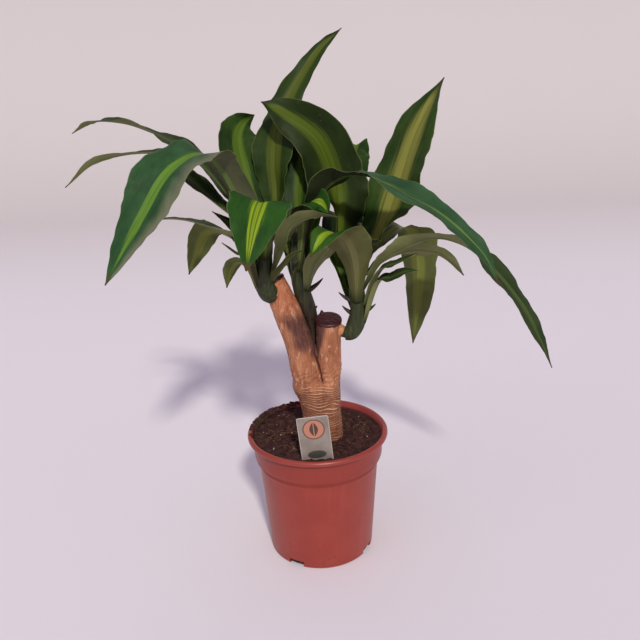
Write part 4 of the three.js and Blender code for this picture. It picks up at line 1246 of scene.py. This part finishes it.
def blade_fold(share):
    if share < LEAF_NECK:
        return mix(LEAF_FOLD_ROOT, LEAF_FOLD_NECK, share / LEAF_NECK)
    return mix(LEAF_FOLD_NECK, LEAF_FOLD_BLADE,
               min(1, (share - LEAF_NECK) / (LEAF_OPEN - LEAF_NECK)))


def section(route, leaf, share):
    """Frame of the blade at a share of its route: middle, across, normal, fold, thickness."""
    side = outward(leaf["turn"] + 90)
    forward = axis_at(route, share)
    across = unit(side - forward * side.dot(forward))
    roll = along([[value] for value in leaf["rolls"]], share)[0]
    across = rotated(across, forward, roll)
    normal = np.cross(forward, across)
    thickness = mix(LEAF_ROOT_THICKNESS, LEAF_THICKNESS, min(1, share / LEAF_THIN_FROM))
    return along(route, share), across, normal, math.radians(blade_fold(share)), thickness


def on_blade(middle, across, normal, fold, off):
    """Where the folded blade has the point that is off its middle by some millimetres."""
    return middle + across * off * math.cos(fold) + normal * abs(off) * math.sin(fold)


def beside(shoot, at, turn):
    """The stem's row and axis at a share of its way, and the direction away from it at a turn."""
    row, axis = along(shoot["stem"], at), axis_at(shoot["stem"], at)
    out = outward(turn)
    return row, axis, unit(out - axis * out.dot(axis))


def seated_route(shoot, leaf):
    """The route with its root where the blade's end just clears the stem."""
    row, axis, out = beside(shoot, leaf["at"], leaf["turn"])
    point, radius = row[:3], row[3]
    half = blade_width(leaf, 0) / 2
    reach = radius + 2
    for _ in range(4):
        route = [list(point + out * reach), *leaf["route"]]
        middle, across, normal, fold, thickness = section(route, leaf, 0)
        offsets = [on_blade(middle, across, normal, fold, v * half)
                   + normal * face * thickness / 2 - point
                   for v in (-1, -0.5, 0, 0.5, 1) for face in (1, -1)]
        nearest = min(np.linalg.norm(offset - axis * offset.dot(axis)) for offset in offsets)
        reach += radius + LEAF_GAP - nearest
    return [list(point + out * reach), *leaf["route"]]


def ripple(leaf, v, distance, share, seed):
    """Small unevenness of the blade beyond its regular waves, in millimetres."""
    fade = min(1, 5 * share) * min(1, 6 * (1 - share) + 0.15)
    size = min(1.0, leaf["width"] / 40)
    side = 3 if v > 0 else -3
    edge = 2.0 * wobble(distance / 13, side, seed) + 0.7 * wobble(distance / 5, side, seed + 4)
    body = 0.8 * wobble(distance / 24, v * 1.6, seed + 9)
    return fade * size * (edge * abs(v) ** 3 + body)


def midrib(shape, off, share):
    """Height of the keel under the blade or of the groove over it."""
    height, spread, left = shape
    return height * mix(1.0, left, share) * bell(off, spread)


def build_leaf(place, name, shoot, leaf, index, material):
    route = seated_route(shoot, leaf)
    length = sum(np.linalg.norm(np.subtract(b, a)) for a, b in zip(route, route[1:]))
    count = max(24, round(length / LEAF_ROW))
    seed = 10 * index + 100 * len(place)
    columns = mirrored(LEAF_COLUMNS)
    around = columns + columns[::-1]
    points, shares, grain = [], [], []
    for i in range(count + 1):
        share = i / count
        distance = length * share
        middle, across, normal, fold, thickness = section(route, leaf, share)
        half = blade_width(leaf, share) / 2
        swing = leaf.get("wave", BLADE["wave"]) * leaf["width"] * min(1, 4 * share * (1 - share))
        beat = math.tau * distance / LEAF_WAVE_LENGTH + LEAF_WAVE_SHIFT * index
        upper, lower = [], []
        for v in columns:
            off = v * half
            wave = swing * v * v * math.sin(beat + (LEAF_WAVE_LAG if v > 0 else 0))
            rise = (math.sqrt(v * v + 0.0016) - 0.04) * half * math.sin(fold)
            bow = 0.035 * half * (abs(v) - v * v)
            lift = rise + wave + bow + ripple(leaf, v, distance, share, seed)
            reach = off * (1 + 0.09 * v * v * wobble(distance / 10, v * 2, seed + 6))
            spine = middle + across * reach * math.cos(fold) + normal * lift
            body = thickness / 2 * (1 - 0.72 * v ** 6)
            upper.append(spine + normal * (body - midrib(DIP, off, share)))
            lower.append(spine - normal * (body + midrib(KEEL, off, share)))
        points += upper + lower[::-1]
        shares += [share] * len(around)
        grain += [(v * half, distance, seed) for v in around]
    sides, last = len(around), count * len(around)
    faces = tube_faces(count + 1, sides)[:-2]
    for k in range(len(columns) - 1):
        mirror = sides - 1 - k
        faces.append((k, mirror, mirror - 1, k + 1))
        faces.append((last + k, last + k + 1, last + mirror - 1, last + mirror))
    faces_up = [1.0] * len(columns) + [0.0] * len(columns)
    mesh = new_mesh(name, points, faces, across=around * (count + 1), share=shares,
                    upper=faces_up * (count + 1), grain=grain)
    blade = show(mesh, f"{place}_{name}", material)
    dress(blade, f"leaf_{place}_{name}")


def clasp(shoot, leaf, rank):
    """A leaf's base: it wraps the stem below the leaf and runs up into the blade's root."""
    *frame, _ = section(seated_route(shoot, leaf), leaf, 0)
    half = blade_width(leaf, 0) / 2
    columns = mirrored(CLASP_COLUMNS)
    points = []
    for i in range(CLASP_STEPS + 1):
        share = i / CLASP_STEPS
        at = max(leaf["at"] - CLASP_REACH * (1 - share), 0.01)
        row, axis, out = beside(shoot, at, leaf["turn"])
        side = np.cross(axis, out)
        spread = math.radians(mix(*CLASP_SPREAD, share))
        radius = row[3] + CLASP_GAP * rank + mix(0.1, 0.9, share)
        blend = ease(share, 0.35, 1)
        outer, inner = [], []
        for v in columns:
            ray = out * math.cos(v * spread) + side * math.sin(v * spread)
            point = mix(row[:3] + ray * radius, on_blade(*frame, v * half), blend)
            thick = unit(mix(ray, -frame[2], blend)) * mix(0.5, 0.92, share)
            thick = thick * (1 - 0.6 * v ** 4)
            outer.append(point + thick)
            inner.append(point - thick)
        points += outer + inner[::-1]
    marks = [1 + abs(v) for v in columns + columns[::-1]] * (CLASP_STEPS + 1)
    return points, tube_faces(CLASP_STEPS + 1, 2 * len(columns)), marks


def bract_aim(shoot, spec):
    """The stem's row and axis at a bract, and the direction it stands in."""
    row, axis = along(shoot["stem"], spec["at"]), axis_at(shoot["stem"], spec["at"])
    return row, axis, unit(outward(spec["turn"]) + axis * BRACT_RISE)


def bract(shoot, spec):
    """A small pointed scale that stands off the stem and curves upwards."""
    row, axis, aim = bract_aim(shoot, spec)
    length = spec["length"] + row[3]
    side = unit(np.cross(axis, aim))
    normal = np.cross(aim, side)
    points = []
    steps, sides = 12, 14
    for i in range(steps + 1):
        share = i / steps
        curve = 0.07 * length * (share - share * share) * 4
        centre = row[:3] + aim * length * share - normal * curve
        size = row[3] * 0.68 * (1 - share) ** 0.7 + 0.25
        points += [centre + side * size * math.cos(turn) + normal * size * 0.7 * math.sin(turn)
                   for turn in circle(sides)]
    return points, tube_faces(steps + 1, sides)


def stem_relief(shoot, where):
    """Height of the old leaf bases' edges and of fine lines, at each point of a plain stem."""
    spine = np.array([along(shoot["stem"], share)[:4] for share in np.linspace(0, 1, 240)])
    steps = np.linalg.norm(np.diff(spine[:, :3], axis=0), axis=1)
    travel = np.concatenate([[0], np.cumsum(steps)])
    relief = []
    for point in where:
        gaps = np.linalg.norm(spine[:, :3] - point, axis=1)
        nearest = int(np.argmin(gaps))
        offset = point - spine[nearest, :3]
        flip = 1 if int(travel[nearest] / SHEATH_PITCH) % 2 else -1
        height = travel[nearest] + flip * 2.2 * math.sin(math.atan2(offset[1], offset[0]))
        cycle = (height / SHEATH_PITCH) % 1.0
        lip = 0.24 * (1 - cycle) ** 2 - 0.2 * bell(min(cycle, 1 - cycle), 0.07)
        outside = ease(gaps[nearest] - spine[nearest, 3], 1.5, 4.0)
        lines = 0.12 * wobble(offset[0] / 1.3, offset[1] / 1.3, point[2] / 16)
        relief.append(lip * (1 - outside) + lines)
    return relief


def build_stem(place, shoot, material):
    bodies = [loft(shoot["stem"], 14 * (len(shoot["stem"]) - 1), 40)]
    bodies += [bract(shoot, spec) for spec in shoot["bracts"]]
    stem = grown(bodies, f"{place}_shoot", STEM_VOXEL, 3)
    where = places(stem.data)
    relief = stem_relief(shoot, where)
    spikes = np.zeros(len(where))
    for spec in shoot["bracts"]:
        row, _, aim = bract_aim(shoot, spec)
        offset = where - row[:3]
        reach = offset @ aim
        gap = np.linalg.norm(offset - reach[:, None] * aim, axis=1)
        spikes = np.maximum(spikes, ease(reach, row[3] * 0.9, row[3] * 1.3)
                            * ease(-gap, -row[3] * 0.8, -row[3] * 0.55))
    push(stem, relief)
    leaves = sorted(shoot["leaves"].values(), key=lambda leaf: -leaf["at"])
    clasps = [clasp(shoot, leaf, rank) for rank, leaf in enumerate(leaves)]
    skin = (places(stem.data), [tuple(face.vertices) for face in stem.data.polygons])
    points, faces = joined([skin, *(body[:2] for body in clasps)])
    clasped = [0.0] * len(where) + [mark for body in clasps for mark in body[2]]
    extra = np.zeros(len(points) - len(where))
    mesh = new_mesh(f"{place}_shoot_full", points, faces, clasp=clasped,
                    relief=np.concatenate([relief, extra]),
                    bract=np.concatenate([spikes, extra]))
    mesh.materials.append(material)
    sharpen(mesh, 60)
    swap(stem, mesh)
    dress(stem, f"stem_{place}")


# ---- Label ----

def build_label():
    width, length, thickness = LABEL_SIZE
    outline = []
    for x, z, start in ((width / 2, 0, -90), (width / 2, length, 0), (-width / 2, length, 90),
                        (-width / 2, 0, 180)):
        inner_x = x - math.copysign(LABEL_CORNER, x)
        inner_z = LABEL_CORNER if z == 0 else z - LABEL_CORNER
        for angle in np.radians(np.linspace(start, start + 90, 8)):
            off_x, off_z = polar(LABEL_CORNER, angle)
            outline.append((inner_x + off_x, inner_z + off_z))
    middle = np.array([0, length / 2])
    half = thickness / 2
    bevel, depth = LABEL_BEVEL
    layers = [(-half, bevel), (-half + depth, 0.0), (half - depth, 0.0), (half, bevel)]
    seat = (Matrix.Translation(LABEL_FOOT) @ Matrix.Rotation(math.radians(-LABEL_LEAN), 4, "X")
            @ Matrix.Rotation(math.radians(LABEL_TILT), 4, "Y"))
    points, card = [], []
    for y, inset in layers:
        for x, z in outline:
            inner_x, inner_z = np.array([x, z]) + unit(middle - np.array([x, z])) * inset
            bow = LABEL_BOW * (1 - (2 * inner_x / width) ** 2)
            points.append(tuple(seat @ Vector((inner_x, y + bow, inner_z))))
            card.append((x, y, z))
    mesh = new_mesh("label", points, tube_faces(len(layers), len(outline)), card=card)
    label = show(mesh, "plant_card", label_material())
    sharpen(mesh, 35)
    dress(label, "plant_label")


# ---- Stage, lights and camera ----

def build_stage():
    """A floor that bends up into a wall far behind the plant."""
    profile = [(STAGE_FRONT, 0.0), (STAGE_BACK, 0.0)]
    for turn in np.radians(np.linspace(0, 90, 16)[1:]):
        profile.append((STAGE_BACK + STAGE_BEND * math.sin(turn),
                        STAGE_BEND * (1 - math.cos(turn))))
    profile.append((STAGE_BACK + STAGE_BEND, STAGE_TOP))
    points = [(x, y, z) for x in (-STAGE_SIDE, STAGE_SIDE) for y, z in profile]
    count = len(profile)
    faces = [(i, count + i, count + i + 1, i + 1) for i in range(count - 1)]
    floor = show(new_mesh("sweep", points, faces), "sweep", stage_material())


def build_light(name, kind, power, colour, direction):
    """A light that shines in a direction: its data, and the object that holds it."""
    light = bpy.data.lights.new(name, kind)
    light.energy = power
    light.color = colour
    lamp = linked(name, light)
    lamp.rotation_euler = Vector(direction).to_track_quat("-Z", "Y").to_euler()
    return light, lamp


def build_lights():
    key, _ = build_light("key", "SUN", KEY_POWER, KEY_COLOUR, KEY_DIRECTION)
    key.angle = math.radians(KEY_ANGLE)
    window, pane = build_light("window", "AREA", WINDOW_POWER, WINDOW_COLOUR,
                               Vector(WINDOW_AIM) - Vector(WINDOW_PLACE))
    window.size = WINDOW_SIZE
    pane.location = WINDOW_PLACE
    world = bpy.data.worlds.new("studio")
    world.use_nodes = True
    sky = world.node_tree.nodes["Background"]
    sky.inputs["Color"].default_value = (*FILL_COLOUR, 1.0)
    sky.inputs["Strength"].default_value = FILL_STRENGTH
    bpy.context.scene.world = world


def build_camera():
    pitch, yaw, roll = (math.radians(v) for v in (CAMERA_PITCH, CAMERA_YAW, CAMERA_ROLL))
    forward = Vector((math.sin(yaw) * math.cos(pitch), math.cos(yaw) * math.cos(pitch),
                      math.sin(pitch)))
    right = forward.cross(Vector((0, 0, 1))).normalized()
    up = right.cross(forward)
    level_right = right * math.cos(roll) + up * math.sin(roll)
    level_up = up * math.cos(roll) - right * math.sin(roll)
    data = bpy.data.cameras.new("camera")
    data.lens = CAMERA_LENS
    data.sensor_width = CAMERA_SENSOR
    camera = linked("camera", data)
    camera.matrix_world = (Matrix.Translation(CAMERA_PLACE)
                           @ Matrix((level_right, level_up, -forward)).transposed().to_4x4())
    bpy.context.scene.camera = camera


# ---- Scene ----

def build_plant():
    build_pot()
    build_soil()
    build_trunk(bark_material())
    wax = wax_material()
    build_wax("wax_left", "wax_cap_left", LEFT_ARM, 0, 3, wax)
    build_wax("wax_right", "wax_cap_right", RIGHT_ARM, CUT_TILT, 8, wax)
    build_label()
    stem_finish = stem_material()
    leaf_finishes = {name: leaf_material(name, look) for name, look in LOOKS.items()}
    for place, shoot in SHOOTS.items():
        build_stem(place, shoot, stem_finish)
        for index, (name, leaf) in enumerate(shoot["leaves"].items()):
            build_leaf(place, name, shoot, leaf, index, leaf_finishes[leaf["look"]])


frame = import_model()
bpy.context.scene.view_settings.view_transform = "Standard"
build_plant()
build_stage()
build_lights()
build_camera()
